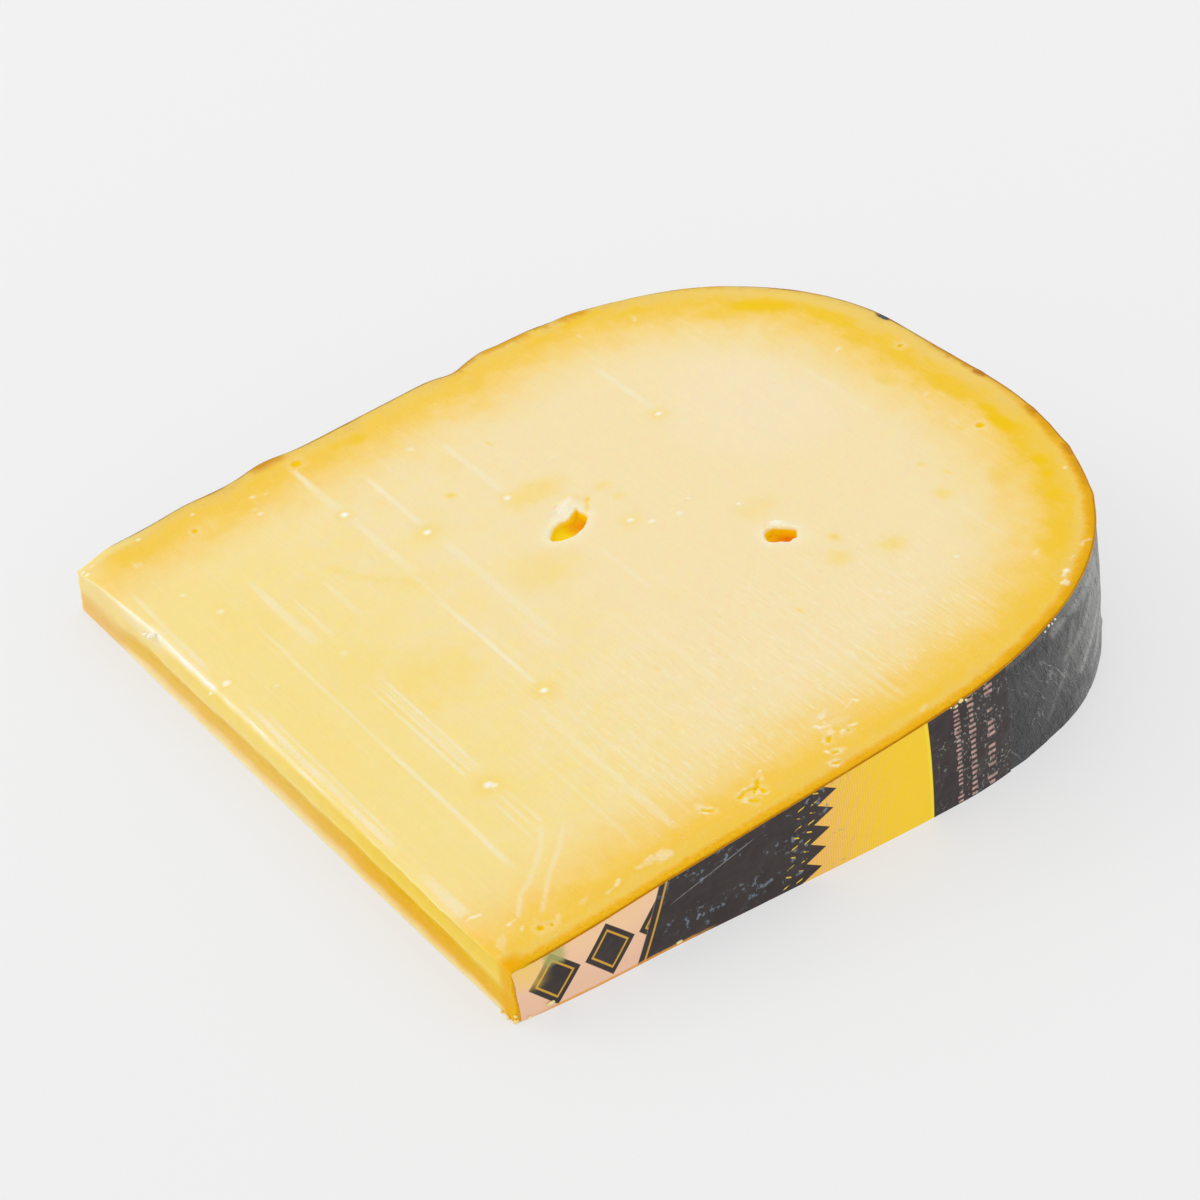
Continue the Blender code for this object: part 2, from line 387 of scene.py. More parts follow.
# Where the knife lifted the surface: (along, across, half length, half width, turn, strength).
TEARS = (
    (22.3, -50.5, 1.9, 0.6, 8, 0.50),
    (24.3, -50.8, 1.4, 1.0, -10, 0.60),
    (13.0, -50.6, 0.7, 0.5, 20, 0.30),
    (9.4, -51.0, 0.8, 0.3, 60, 0.40),
    (5.4, -49.3, 0.5, 0.3, 50, 0.60),
    (2.4, -49.6, 1.3, 0.7, 60, 0.35),
    (52.5, -44.7, 0.6, 0.5, 30, 1.00),
    (53.5, -47.0, 1.6, 0.9, 0, 0.25),
    (50.0, -48.4, 0.6, 0.4, 20, 0.40),
    (52.6, -49.2, 0.7, 0.6, 0, 0.30),
    (50.3, -51.4, 0.9, 0.5, 0, 0.30),
    (38.6, -49.6, 1.9, 1.1, -15, 0.35),
    (36.8, -50.1, 1.0, 0.5, -30, 0.40),
    (32.6, -48.4, 0.8, 0.6, 0, 0.45),
    (62.0, -52.4, 0.8, 0.3, 20, 0.30),
    (6.6, 47.9, 0.8, 0.8, 0, 0.35),
    (27.6, 49.0, 0.7, 0.35, 50, 0.45),
    (24.6, 46.9, 0.6, 0.5, 0, 0.35),
    (60.3, 25.3, 1.6, 0.4, 10, 0.45),
    (102.7, 16.2, 1.0, 0.35, 35, 0.60),
    (91.3, -39.0, 0.9, 0.35, 25, 0.35),
    (91.0, -45.0, 0.6, 0.35, 30, 1.00),
    (104.0, -1.6, 0.7, 0.30, 30, 0.40),
    (79.9, 47.5, 0.3, 0.9, 0, 0.35),
    (88.0, 45.2, 0.3, 0.7, -20, 0.35),
    (0.5, 32.4, 0.9, 0.5, 0, 0.60),
)

# Thin marks that don't run straight across: paths over the cut.
SCRATCHES = (
    ((6.3, -47.2), (8.5, -44.3), (10.2, -43.6), (14.5, -39.6), (17.0, -36.2)),
    ((8.8, -48.5), (12.6, -44.2), (15.8, -41.5), (19.0, -38.0)),
)
GOLDEN_LINES = (
    ((25.0, 27.0), (27.0, 22.0), (30.5, 17.5), (31.6, 15.0)),
    ((58.2, 14.2), (57.3, 15.4), (56.2, 16.6)),
)
CRACKS = (
    ((39.9, -48.4), (39.3, -49.3), (39.3, -50.6)),
    ((39.3, -49.3), (37.5, -49.0), (36.7, -49.4)),
    ((39.0, -49.3), (38.3, -49.9)),
    ((37.2, -50.7), (37.7, -51.2)),
    ((32.2, -48.0), (32.9, -48.9)),
    ((50.2, -49.0), (50.6, -48.4)),
    ((49.7, -51.2), (49.3, -51.0)),
    ((48.6, -52.8), (48.2, -52.6)),
)
# Thin white lines along paths: the edges of torn flakes, and the last four, by the rim, painted glints.
FLAKE_EDGES_AND_GLINTS = (
    ((50.7, -45.7), (51.1, -46.5), (52.1, -46.9), (51.4, -48.0)),
    ((52.8, -49.2), (52.6, -48.7), (52.1, -48.8), (51.9, -49.4)),
    ((55.2, -45.8), (57.0, -45.0), (57.3, -45.7)),
    ((53.6, -48.6), (54.6, -48.8)),
    ((48.8, -50.2), (48.9, -51.2), (50.0, -51.9)),
    ((47.8, -52.3), (48.2, -53.2), (49.0, -53.1)),
    ((41.2, -47.3), (40.2, -48.0)),
    ((15.9, -51.5), (17.2, -51.3), (18.3, -50.5)),
    ((1.6, -43.7), (3.2, -43.9)),
    ((4.6, -47.6), (5.6, -47.5)),
    ((97.6, -42.1), (96.6, -41.9), (96.1, -42.3)),
    ((93.9, -43.2), (93.5, -43.3)),
    ((90.1, -46.0), (89.2, -46.4)),
    ((90.0, -46.6), (89.4, -46.9)),
)

# Burrs on the coating: (along, across, height up the rim, size).
BURRS = (
    (101.5, -37.8, 2.2, 0.55),
    (94.0, -43.6, 1.2, 0.40),
    (104.5, -33.4, 9.5, 0.25),
    (88.0, -47.4, 4.5, 0.15),
)
BURR_REACH = 0.55

# Pale smears on the coating's near side: a path (along, distance below the cut), half width and strength.
WAX_STREAKS = (
    (((84.0, 2.2), (92.0, 2.4), (99.0, 2.2), (104.0, 2.6)), 0.7, 0.45),
    (((90.0, 13.0), (96.0, 10.0), (100.0, 6.5), (103.5, 2.0)), 0.6, 0.55),
    (((86.0, 8.0), (91.0, 7.0), (97.0, 3.5)), 0.5, 0.35),
    (((94.0, 16.0), (99.0, 12.5), (103.0, 12.0), (105.5, 8.0)), 0.7, 0.5),
    (((101.0, 18.0), (104.0, 13.0), (105.2, 5.0)), 0.5, 0.5),
    (((82.0, 14.0), (86.0, 9.5), (88.0, 4.0)), 0.5, 0.25),
)

# Crumbs: (along, across, share of the wedge's angle, lift, three sizes, turn, 0 for yellow to 1 for white).
CRUMBS = (
    (0.5, 32.7, 0.99, 0.05, (1.5, 0.9, 0.5), 20, 1.0),
    (0.1, 33.8, 0.97, 0.0, (0.8, 0.5, 0.3), -30, 1.0),
    (0.3, 15.9, 0.99, 0.0, (0.7, 0.4, 0.3), 40, 1.0),
    (0.1, -54.3, 0.02, 0.15, (0.8, 0.6, 0.5), 10, 0.3),
    (-0.2, -53.1, 0.01, 0.15, (0.6, 0.5, 0.4), 60, 0.4),
    (-0.2, -51.8, 0.01, 0.15, (0.5, 0.4, 0.3), 30, 0.2),
    (0.1, -54.35, 0.14, 0.0, (0.4, 0.4, 0.4), 80, 0.3),
    (1.7, -54.65, 0.02, 0.1, (0.5, 0.35, 0.3), 0, 0.5),
    (4.6, -54.82, 0.12, 0.0, (1.2, 0.25, 0.4), 0, 0.4),
    (22.6, -54.68, 0.03, 0.1, (0.9, 0.3, 0.4), 0, 0.5),
    (65.2, -54.52, 0.970, 0.0, (0.6, 0.3, 0.4), 10, 0.5),
    (66.0, -54.50, 0.985, 0.1, (0.8, 0.4, 0.4), 15, 0.3),
    (66.8, -54.42, 0.970, 0.0, (0.4, 0.3, 0.3), 0, 0.6),
    (64.4, -54.55, 0.985, 0.0, (0.3, 0.25, 0.25), 0, 0.4),
    (81.9, -51.40, 0.965, 0.0, (0.3, 0.25, 0.3), 0, 1.0),
    (82.7, -51.20, 0.985, 0.0, (0.35, 0.25, 0.35), 30, 1.0),
    (83.4, -51.00, 0.975, 0.0, (0.35, 0.25, 0.3), 60, 0.9),
    (84.1, -50.80, 0.985, 0.0, (0.3, 0.25, 0.25), 10, 1.0),
    (98.3, -41.85, 0.975, 0.0, (0.3, 0.3, 0.5), 30, 1.0),
)

# The cheese's lip over the coating: its share of the full reach at each drop below the cut.
LIP_DROP = (0.0, 0.02, 0.05, 0.08, 0.12, 0.20)
LIP_SHARE = (0.85, 1.0, 1.0, 0.97, 0.40, 0.0)

GLOSS_VEIL = 0.008  # light that the cheese's gloss adds to its colour under the studio's pale sky

# Colours as they show on a screen, from 0 to 255, each at its place in millimetres.
RIND_COLOURS = (  # from the edge inwards
    (0.0, (236, 194, 96)),
    (1.0, (239, 200, 98)),
    (2.4, (242, 202, 92)),
    (4.0, (244, 202, 82)),
    (6.0, (247, 205, 95)),
    (9.0, (249, 211, 122)),
    (13.0, (247, 216, 139)),
    (18.0, (247, 220, 152)),
)
# Up the inner end: the cheese's own colours, with painted shade making the recess darker amber and painted
# light making the foot lip and the ledge paler.
END_COLOURS_AND_SHADE = (  # up the inner end, away from its near side
    (0.0, (238, 214, 168)),
    (0.5, (244, 224, 176)),
    (0.75, (241, 216, 154)),
    (1.1, (236, 198, 104)),
    (1.8, (237, 196, 90)),
    (2.4, (238, 193, 80)),
    (3.3, (240, 201, 98)),
    (4.4, (245, 216, 136)),
    (5.6, (243, 216, 124)),
    (7.8, (242, 214, 108)),
)
END_NEAR_COLOURS_AND_SHADE = (  # up the inner end, at its near side
    (0.0, (236, 208, 152)),
    (0.5, (243, 219, 164)),
    (0.7, (239, 208, 134)),
    (1.0, (235, 187, 62)),
    (2.2, (236, 182, 8)),
    (3.2, (238, 190, 40)),
    (4.5, (245, 210, 98)),
    (5.6, (242, 209, 80)),
    (7.8, (240, 202, 60)),
)
# The eye's own amber, painted lighter near the top and darker, more orange deeper down: painted shade in the
# hole.
EYE_COLOURS_AND_SHADE = (  # down into an eye
    (0.0, (252, 222, 120)),
    (0.4, (254, 212, 24)),
    (0.9, (255, 208, 0)),
    (1.25, (255, 186, 0)),
    (1.6, (252, 146, 0)),
    (2.1, (248, 100, 0)),
)
GOLD = (214, 160, 40)

# The label's print: its diamonds, the slant of the line after them, its gold field, and its rows of dashes,
# each (along, greatest length, pitch up the label, seed).
DIAMOND_FIRST = 5.6
DIAMOND_SPACING = 7.6
DIAMOND_HALF_LENGTH, DIAMOND_HALF_HEIGHT = 3.5, 3.9
PRINT_SLANT = -0.45
FIELD_START = 40.5
DOT_PITCH = 0.50
DASH_ROWS = ((65.1, 1.15, 0.66, 2.5), (67.4, 1.25, 0.80, 5.5), (70.5, 1.80, 0.92, 9.5))

# How fine the meshes are: rows up the walls, columns round them, and the spacing of points on the upper cut.
WALL_ROWS = 36
COLUMN_SPACING = 0.6
GRID_ALONG, GRID_ACROSS = 0.24, 1.25
FINE_GRID = 0.17
TEAR_GRID = 0.22
STRIP_SPACING = 0.5
COAT_ROWS = 49
LABEL_ROWS = 41
NOT_ON_END = 20.0  # the height given to points that aren't on the inner end


# ---- Shapes on the cut


def shoulder(shape, side, samples=400):
    flank = side * FLANK
    turn = np.linspace(0, math.pi / 2, samples)
    along = shape["start"] + (SLICE_LENGTH - shape["start"]) * np.sin(turn) ** (2 / shape["power_along"])
    across = shape["level"] + (flank - shape["level"]) * np.cos(turn) ** (2 / shape["power_across"])
    return np.column_stack((np.r_[0, along], np.r_[flank, across]))


def way_along(points):
    """How far along its line each point lies."""
    return np.r_[0, np.cumsum(np.linalg.norm(np.diff(points, axis=0), axis=1))]


def evenly_spaced(points, spacing):
    reached = way_along(points)
    at = np.linspace(0, reached[-1], round(reached[-1] / spacing) + 1)
    return np.column_stack([np.interp(at, reached, column) for column in points.T])


def outline(spacing):
    """The slice's edge on a cut, from the near inner corner round the rim to the far inner corner."""
    near = shoulder(NEAR_SHOULDER, -1)
    far = shoulder(FAR_SHOULDER, 1)
    points = evenly_spaced(np.vstack((near, far[::-1])), spacing)
    along, across = points.T
    side = np.where(np.abs(across) > FLANK / 2, np.sign(across), 0)
    across += (side < 0) * CORNER_DROOP * np.exp(-along / CORNER_DROOP_LENGTH)
    for place, height, width in FLANK_WAVES:
        across += (side > 0) * height * bell(along - place, width)
    points += normals(points) * ((side < 0) * np.interp(along, *np.array(NEAR_HOLLOW).T))[:, None]
    for *place, height, width in RIM_KINKS:
        away = np.linalg.norm(points - place, axis=1)
        points -= normals(points) * height * bell(away, width)[:, None]
    return points


def normals(points):
    """At each point of a line, the direction at right angles to it that leads into the slice."""
    ahead = np.gradient(points, axis=0)
    ahead /= np.linalg.norm(ahead, axis=1)[:, None]
    return np.column_stack((-ahead[:, 1], ahead[:, 0]))


def inset(points, depth):
    return points + normals(points) * np.reshape(depth, (-1, 1))


def coat_depth(points):
    """The coating's thickness at the outline's points: nothing at the two inner corners, more at the chip."""
    along, across = points.T
    start = np.where(across < 0, COAT_START_NEAR, COAT_START_FAR)
    place, extra, reach = COAT_CHIP
    chip = extra * (along > 100) * fade(0.5 * reach, reach, np.abs(across - place))
    return (COAT + chip) * smoothstep(0, COAT_RISE, along - start)


def lip_reach(points):
    """How far the cheese's upper edge swells outward from its own wall, over the coating."""
    along, across = points.T
    ragged = rough_noise(along, across, 3.2, 91)
    near = fade(-40, -5, across)
    bare = smoothstep(82, 87, along) * fade(101, 106, along)
    thick = fade(3, 6, np.abs(along - 27.5))
    far = 0.10 + 0.16 * ragged + 0.16 * bare - 0.08 * thick
    far = np.maximum(far - fade(0.9, 1.9, np.abs(across - COAT_CHIP[0])) * (along > 100), 0)
    return smoothstep(0, 0.05, coat_depth(points)) * (far + near * (0.34 + 0.03 * ragged - far))


def inside(polygon, points):
    """Which points lie in the polygon, by counting the edges beyond each."""
    along, across = points.T
    found = np.zeros(len(points), bool)
    for (a, b), (c, d) in zip(polygon, np.roll(polygon, -1, axis=0)):
        if b != d:
            crosses = (b > across) != (d > across)
            found ^= crosses & (along < (c - a) * (across - b) / (d - b) + a)
    return found


def distance_to(line, points):
    """From each point to the nearest of the line's points."""
    tree = kdtree.KDTree(len(line))
    for i, (a, b) in enumerate(line):
        tree.insert((a, b, 0), i)
    tree.balance()
    return np.array([tree.find((a, b, 0))[2] for a, b in points])


def distance_to_path(path, points):
    """From each point to the nearest place on the path's straight stretches."""
    nearest = np.full(len(points), np.inf)
    for start, end in zip(np.array(path), np.array(path)[1:]):
        step = end - start
        share = np.clip((points - start) @ step / (step @ step), 0, 1)
        nearest = np.minimum(nearest, np.linalg.norm(points - start - share[:, None] * step, axis=1))
    return nearest


def beyond_outline(corners, points):
    """From each point to a closed outline: negative inside it."""
    away = distance_to_path(np.vstack((corners, corners[:1])), points)
    return np.where(inside(corners, points), -away, away)


def oval(points, along, across, half_length, half_width, turn=0.0):
    """How far each point is out from an oval's middle, where 1 is on the oval."""
    turn = math.radians(turn)
    u, v = points[:, 0] - along, points[:, 1] - across
    p = (u * math.cos(turn) + v * math.sin(turn)) / half_length
    q = (v * math.cos(turn) - u * math.sin(turn)) / half_width
    return np.hypot(p, q)


# ---- Smooth random relief


def smoothstep(low, high, value):
    share = np.clip((value - low) / (high - low), 0, 1)
    return share * share * (3 - 2 * share)


def fade(low, high, value):
    """From 1 at low to 0 at high, eased."""
    return 1 - smoothstep(low, high, value)


def bell(off, width):
    return np.exp(-((off / width) ** 2))


def lattice_noise(a, b, cell_a, cell_b, seed):
    """Noise between -1 and 1: random numbers on a lattice, blended with an ease."""
    table = np.random.default_rng(seed).uniform(-1, 1, (256, 256))
    u, v = a / cell_a + 100, b / cell_b + 100
    i, j = np.floor(u).astype(int), np.floor(v).astype(int)
    u, v = smoothstep(0, 1, u - i), smoothstep(0, 1, v - j)

    def corner(di, dj):
        return table[(i + di) % 256, (j + dj) % 256]

    low = corner(0, 0) * (1 - u) + corner(1, 0) * u
    high = corner(0, 1) * (1 - u) + corner(1, 1) * u
    return low * (1 - v) + high * v


def rough_noise(a, b, cell, seed, octaves=4):
    return sum(lattice_noise(a, b, cell / 2**i, cell / 2**i, seed + i) / 2**i for i in range(octaves)) / 2


# ---- Places in the row frame


def on_wheel(along, across, share, lift=0.0):
    """Points turned about the wheel's axis by a share of the wedge's angle, and lifted off that plane."""
    radius = INNER_RADIUS + along
    angle = WEDGE_ANGLE * share
    x = radius * np.cos(angle) - lift * np.sin(angle) - INNER_RADIUS + END_X
    z = radius * np.sin(angle) + lift * np.cos(angle)
    return np.stack(np.broadcast_arrays(x, across + MID_Y, z), axis=-1)


def full_arc(along):
    """How far up the rim's arc the upper cut is from the lower one."""
    return (along + INNER_RADIUS) * WEDGE_ANGLE


def top_along(depth):
    """Where on the upper cut a vertical plane meets it, this deep from the inner end."""
    return (depth + INNER_RADIUS) / math.cos(WEDGE_ANGLE) - INNER_RADIUS


# ---- Meshes


def add_object(name, data):
    obj = bpy.data.objects.new(name, data)
    bpy.context.scene.collection.objects.link(obj)
    return obj


def make_object(name, points, faces, material, attributes, smooth_angle=40):
    mesh = bpy.data.meshes.new(name)
    mesh.from_pydata((np.asarray(points) * MM).tolist(), [], faces)
    mesh.materials.append(material)
    for key, values in attributes.items():
        layer = mesh.attributes.new(key, "FLOAT", "POINT")
        layer.data.foreach_set("value", np.asarray(values, np.float32))
    mesh.shade_smooth()
    mesh.set_sharp_from_angle(angle=math.radians(smooth_angle))
    return add_object(name, mesh)


def both_sides(outer):
    """The outer side's values for a closed strip's points, and the same again for its inner side."""
    return np.concatenate((outer, outer[:, ::-1]), axis=1).ravel()


def closed_strip(sections):
    """Faces of a closed body through sections, closed loops of as many points each. Both ends are flat."""
    count, rows = sections.shape[:2]
    faces = [
        (i * rows + k, (i + 1) * rows + k, (i + 1) * rows + (k + 1) % rows, i * rows + (k + 1) % rows)
        for i in range(count - 1)
        for k in range(rows)
    ]
    faces.append(list(range(rows))[::-1])
    faces.append([(count - 1) * rows + k for k in range(rows)])
    return faces


def triangulate(ring, inner):
    """Triangles that fill the ring, through its own points and the inner ones, as indices into both."""
    points = [Vector(p) for p in np.vstack((ring, inner))]
    edges = [(i, (i + 1) % len(ring)) for i in range(len(ring))]
    result = delaunay_2d_cdt(points, edges, [], 1, 1e-6)
    origin = [sources[0] for sources in result[3]]
    return [[origin[i] for i in face] for face in result[2]]


def grid_points(low, high, step_along, step_across):
    a, b = np.meshgrid(np.arange(low[0], high[0], step_along), np.arange(low[1], high[1], step_across))
    return np.column_stack((a.ravel(), b.ravel()))


def wall_drops(height):
    """How far each of a wall's rows lies below its top: even steps up from the foot, then the lip's own."""
    even = np.linspace(height, LIP_DROP[-1], WALL_ROWS + 2 - len(LIP_DROP))
    return np.concatenate((even, LIP_DROP[-2::-1]))


def end_section(across):
    """The inner end's section at one place across: points (depth, height), from the foot to the crease."""
    table = np.array(END_ALONG)
    crease = np.interp(across, table[:, 0], table[:, 1])
    crease += 0.07 * float(lattice_noise(across, 0.0, 1.1, 1.0, 13))
    share = np.interp(across, table[:, 0], table[:, 2])
    heights, depths = np.array(END_PROFILE).T
    place = np.full(len(heights), across)
    ledge_wave = 0.35 * lattice_noise(place, 0 * place, 9.0, 1.0, 11)
    ledge_wave += 0.10 * lattice_noise(place, 0 * place, 2.2, 1, 14)
    face_wave = 0.12 * lattice_noise(place, heights, 3.0, 1.6, 12)
    face_wave += 0.05 * lattice_noise(place, heights, 0.9, 0.7, 15)
    depths = depths * share + face_wave * smoothstep(0.0, 0.6, heights)
    heights = heights + smoothstep(2.0, 4.5, heights) * ledge_wave
    top = (top_along(crease) + INNER_RADIUS) * math.sin(WEDGE_ANGLE)
    rise, run = np.array(END_CREST).T
    heights, depths = (
        np.r_[heights, heights[-1] + (top - heights[-1]) * rise],
        np.r_[depths, depths[-1] + (crease - depths[-1]) * run],
    )
    section = np.column_stack((depths, heights))
    reached = way_along(section)
    at = reached[-1] - wall_drops(reached[-1])
    return np.column_stack([np.interp(at, reached, column) for column in (*section.T, reached - reached[-1])])


# ---- The cheese


def rounded(corners):
    """A closed outline with each of its corners cut twice."""
    corners = np.array(corners)
    for _ in range(2):
        after = np.roll(corners, -1, axis=0)
        pair = (0.75 * corners + 0.25 * after, 0.25 * corners + 0.75 * after)
        corners = np.stack(pair, axis=1).reshape(-1, 2)
    return corners


def eye_relief(eye, seed, points):
    """One eye's share of the cut's relief and masks: a ragged hole, and a torn flap on its far side."""
    ragged = rough_noise(*points.T, 1.3, seed)
    teeth = rough_noise(*points.T, 0.6, seed + 5)
    out = beyond_outline(rounded(eye["hole"]), points) + 0.14 * teeth - 0.06
    hole = smoothstep(0.10, -0.50, out)
    deep = bell(np.linalg.norm(points - eye["deepest"], axis=1), eye["reach"])
    depth = eye["depth"] * hole * (eye["floor"] + (1 - eye["floor"]) * deep)
    flap = (1 - hole) * fade(0.6, 1.05, oval(points, *eye["flap"]) + 0.3 * ragged)
    mound = (1 - hole) * fade(0.3, 1.2, oval(points, *eye["mound"]) + 0.4 * ragged)
    halo = bell(np.maximum(out, 0), 1.15)
    tail = fade(0.05, 0.60, distance_to_path(eye["tail"], points) + 0.3 * teeth)
    lip = bell(out - 0.25, 0.18)
    relief = 0.06 * lip - depth - flap * (0.14 - 0.30 * ragged) + 0.18 * mound - 0.08 * tail
    masks = {
        "depth": depth,
        "white": np.maximum(0.75 * mound * (0.8 + 0.5 * teeth), 0.25 * flap),
        "pale": 0.85 * halo,
        "golden": 0.9 * tail * (1 - hole),
    }
    return relief, masks


def streak_strength(points):
    along, across = points.T
    found = np.zeros(len(points))
    for at, start, stop, start_width, stop_width, strength in STREAKS:
        share = (across - start) / (stop - start)
        width = start_width + (stop_width - start_width) * np.clip(share, 0, 1)
        drift = 0.10 * lattice_noise(across, 0 * across + at, 6, 1, 31)
        off = np.abs(along - at - STREAK_LEAN * across - drift) / width
        tapered = smoothstep(0, 0.15, share) * smoothstep(0, 0.08, 1 - share)
        uneven = 1 + 0.35 * lattice_noise(across, 0 * across + at, 2.5, 1, 32)
        np.maximum(found, strength * uneven * tapered * fade(0.3, 0.85, off), out=found)
    return found


def painted_crease_highlight(off, across):
    """The crease's painted highlight at a distance off it, which is negative on the end face."""
    place, strength, width = np.array(CREASE_HIGHLIGHT).T
    broken = 1 + 0.35 * lattice_noise(across, off, 2.2, 0.8, 61)
    return np.interp(across, place, strength) * broken * bell(off + 0.12, np.interp(across, place, width))


def end_droop(along, across):
    """How far the cut sinks below its plane towards the crease."""
    from_end = along - np.interp(across, *np.array(END_ALONG).T[:2])
    return END_DROOP * fade(0, END_DROOP_REACH, from_end)


def top_marks(points, edge):
    """The upper cut's height over its plane at each point, and the masks that its colours follow."""
    along, across = points.T
    ragged = rough_noise(along, across, 1.2, 51)
    torn_noise = rough_noise(along, across, 0.8, 53)
    broken = smoothstep(-0.25, 0.30, rough_noise(along, across, 0.9, 57))
    dragged = rough_noise(along, 0.3 * across, 1.6, 55)
    from_end = along - np.interp(across, *np.array(END_ALONG).T[:2])
    relief = 0.12 * lattice_noise(along, across, 24, 24, 21) + 0.05 * lattice_noise(along, across, 7, 11, 24)
    drawn = 0.030 * lattice_noise(along, across, 0.8, 26, 22)
    drawn += 0.012 * lattice_noise(along, across, 0.5, 14, 23)
    relief += drawn
    relief *= smoothstep(0, 3, edge)
    relief -= EDGE_DROOP * fade(0, 0.6, edge) ** 1.5
    relief -= end_droop(along, across)
    relief -= FAR_CORNER_DROOP * fade(0, FAR_CORNER_REACH, np.hypot(along, across - FLANK))
    rough_rim = fade(1.5, 7, edge) * smoothstep(0.3, 1.2, edge)
    relief += 0.05 * rough_rim * rough_noise(along, across, 1.1, 25)

    kinds = ("pale", "white", "golden", "amber", "crust", "brown", "depth")
    masks = {key: np.zeros(len(points)) for key in kinds}

    def mark(key, values):
        np.maximum(masks[key], values, out=masks[key])

    streaks = streak_strength(points)
    mark("pale", 0.90 * streaks)
    relief += 0.03 * streaks
    # The crease's painted highlight, laid into the white mask.
    mark("white", painted_crease_highlight(from_end, across))
    for *spot, strength in GOLDEN_SPOTS:
        mark("golden", strength * fade(0.4, 1.2, oval(points, *spot) + 0.35 * ragged))
    for *spot, strength in AMBER_SPOTS:
        out = oval(points, *spot) + 0.35 * dragged + 0.2 * ragged
        mark("amber", 0.9 * strength * fade(0.45, 1.25, out))
    for at, level, half, depth, brown, strength in EDGE_STAINS:
        reached = fade(0.55, 1.1, np.hypot(along - at, across - level) / half + 0.15 * ragged)
        shallow = fade(0.5, 1.1, edge / depth + 0.5 * torn_noise + 0.3 * ragged)
        mark("crust", strength * reached * shallow)
        masks["brown"] += brown * strength * reached * (1 - masks["brown"])
    for path in GOLDEN_LINES:
        mark("golden", 0.20 * fade(0.2, 1.2, distance_to_path(path, points)))
    for path in SCRATCHES:
        mark("pale", 0.45 * fade(0.05, 0.55, distance_to_path(path, points) + 0.2 * ragged))
    for *tear, strength in TEARS:
        out = oval(points, *tear) + 0.8 * torn_noise
        torn = strength * fade(0.55, 1.05, out)
        mark("white", 0.30 * strength * broken * bell(out - 0.85, 0.20))
        mark("pale", torn)
        relief += torn * (0.05 + 0.16 * torn_noise)
    # White along each path: torn flakes' edges, and by the rim painted glints.
    for path in FLAKE_EDGES_AND_GLINTS:
        off = distance_to_path(path, points) + 0.25 * torn_noise
        flake_and_glint = fade(0.05, 0.32, off)
        mark("white", 0.55 * flake_and_glint * (0.3 + 0.7 * broken))
        relief += 0.08 * flake_and_glint
    for at, level, radius, halo, strength in CRYSTALS:
        away = np.hypot(along - at, across - level)
        if halo:
            mark("golden", 0.42 * strength * fade(0.2 * halo, halo, away + 0.5 * ragged))
        dot = strength * fade(0.1 * radius, 1.3 * radius, away + 0.12 * ragged)
        mark("white", dot)
        relief += 0.12 * dot
    for at, level, radius in PITS:
        away = np.hypot(along - at, across - level) + 0.3 * radius * torn_noise
        hole = fade(0.6 * radius, radius, away)
        mark("depth", 0.75 * hole)
        mark("pale", 0.25 * bell(away - 1.5 * radius, 0.35))
        relief -= 0.25 * hole
    for path in CRACKS:
        off = distance_to_path(path, points) + 0.15 * torn_noise
        crack = fade(0.14, 0.34, off)
        mark("depth", 0.75 * crack)
        mark("white", 0.35 * broken * bell(off - 0.50, 0.20))
        relief -= 0.25 * crack
    for i, eye in enumerate(EYES):
        eye_lift, eye_masks = eye_relief(eye, 40 + 20 * i, points)
        relief += eye_lift
        for key, values in eye_masks.items():
            mark(key, values)
    return relief, masks


def round_patch(along, across, reach, spacing):
    """A fine round patch of points on the cut, and the test for the places that it covers."""
    middle = np.array((along, across))
    points = grid_points(middle - reach, middle + reach, spacing, spacing)

    def covers(others, margin=0.0):
        return np.linalg.norm(others - middle, axis=1) < reach + margin

    return points[covers(points, -spacing)], covers


def patches_along(path, reach):
    """Round patches close together along a path."""
    line = evenly_spaced(np.array(path), reach)
    return [round_patch(*place, reach, FINE_GRID) for place in line]


def cut_points(ring, coated):
    """Points inside the ring for the upper cut: columns across the slice, and finer patches at its marks."""
    patches = [round_patch(*eye["patch"], FINE_GRID) for eye in EYES]
    patches += [round_patch(*spot[:2], spot[2] + 0.5, FINE_GRID) for spot in (*CRYSTALS, *PITS)]
    patches += [round_patch(*tear[:2], max(tear[2:4]) + 0.5, TEAR_GRID) for tear in TEARS]
    for path in (*SCRATCHES, *CRACKS, *FLAKE_EDGES_AND_GLINTS):
        patches += patches_along(path, 0.9)
    spread = grid_points((-2, -FLANK), (SLICE_LENGTH + 2, FLANK), GRID_ALONG, GRID_ACROSS)
    spread[:, 0] += STREAK_LEAN * spread[:, 1]
    layers = []
    covered = []
    for points, covers in (*patches, (spread, None)):
        for test in covered:
            points = points[~test(points, 0.08)]
        layers.append(points)
        covered.append(covers)
    marks = np.vstack(layers)
    marks = marks[distance_to(coated, marks) > 0.66]
    rings = [inset(coated, depth)[3:-3] for depth in (0.14, 0.3, 0.52)]
    inner = np.vstack((marks, *rings))
    inner = inner[inside(ring, inner)]
    return inner[distance_to(ring, inner) > 0.11]


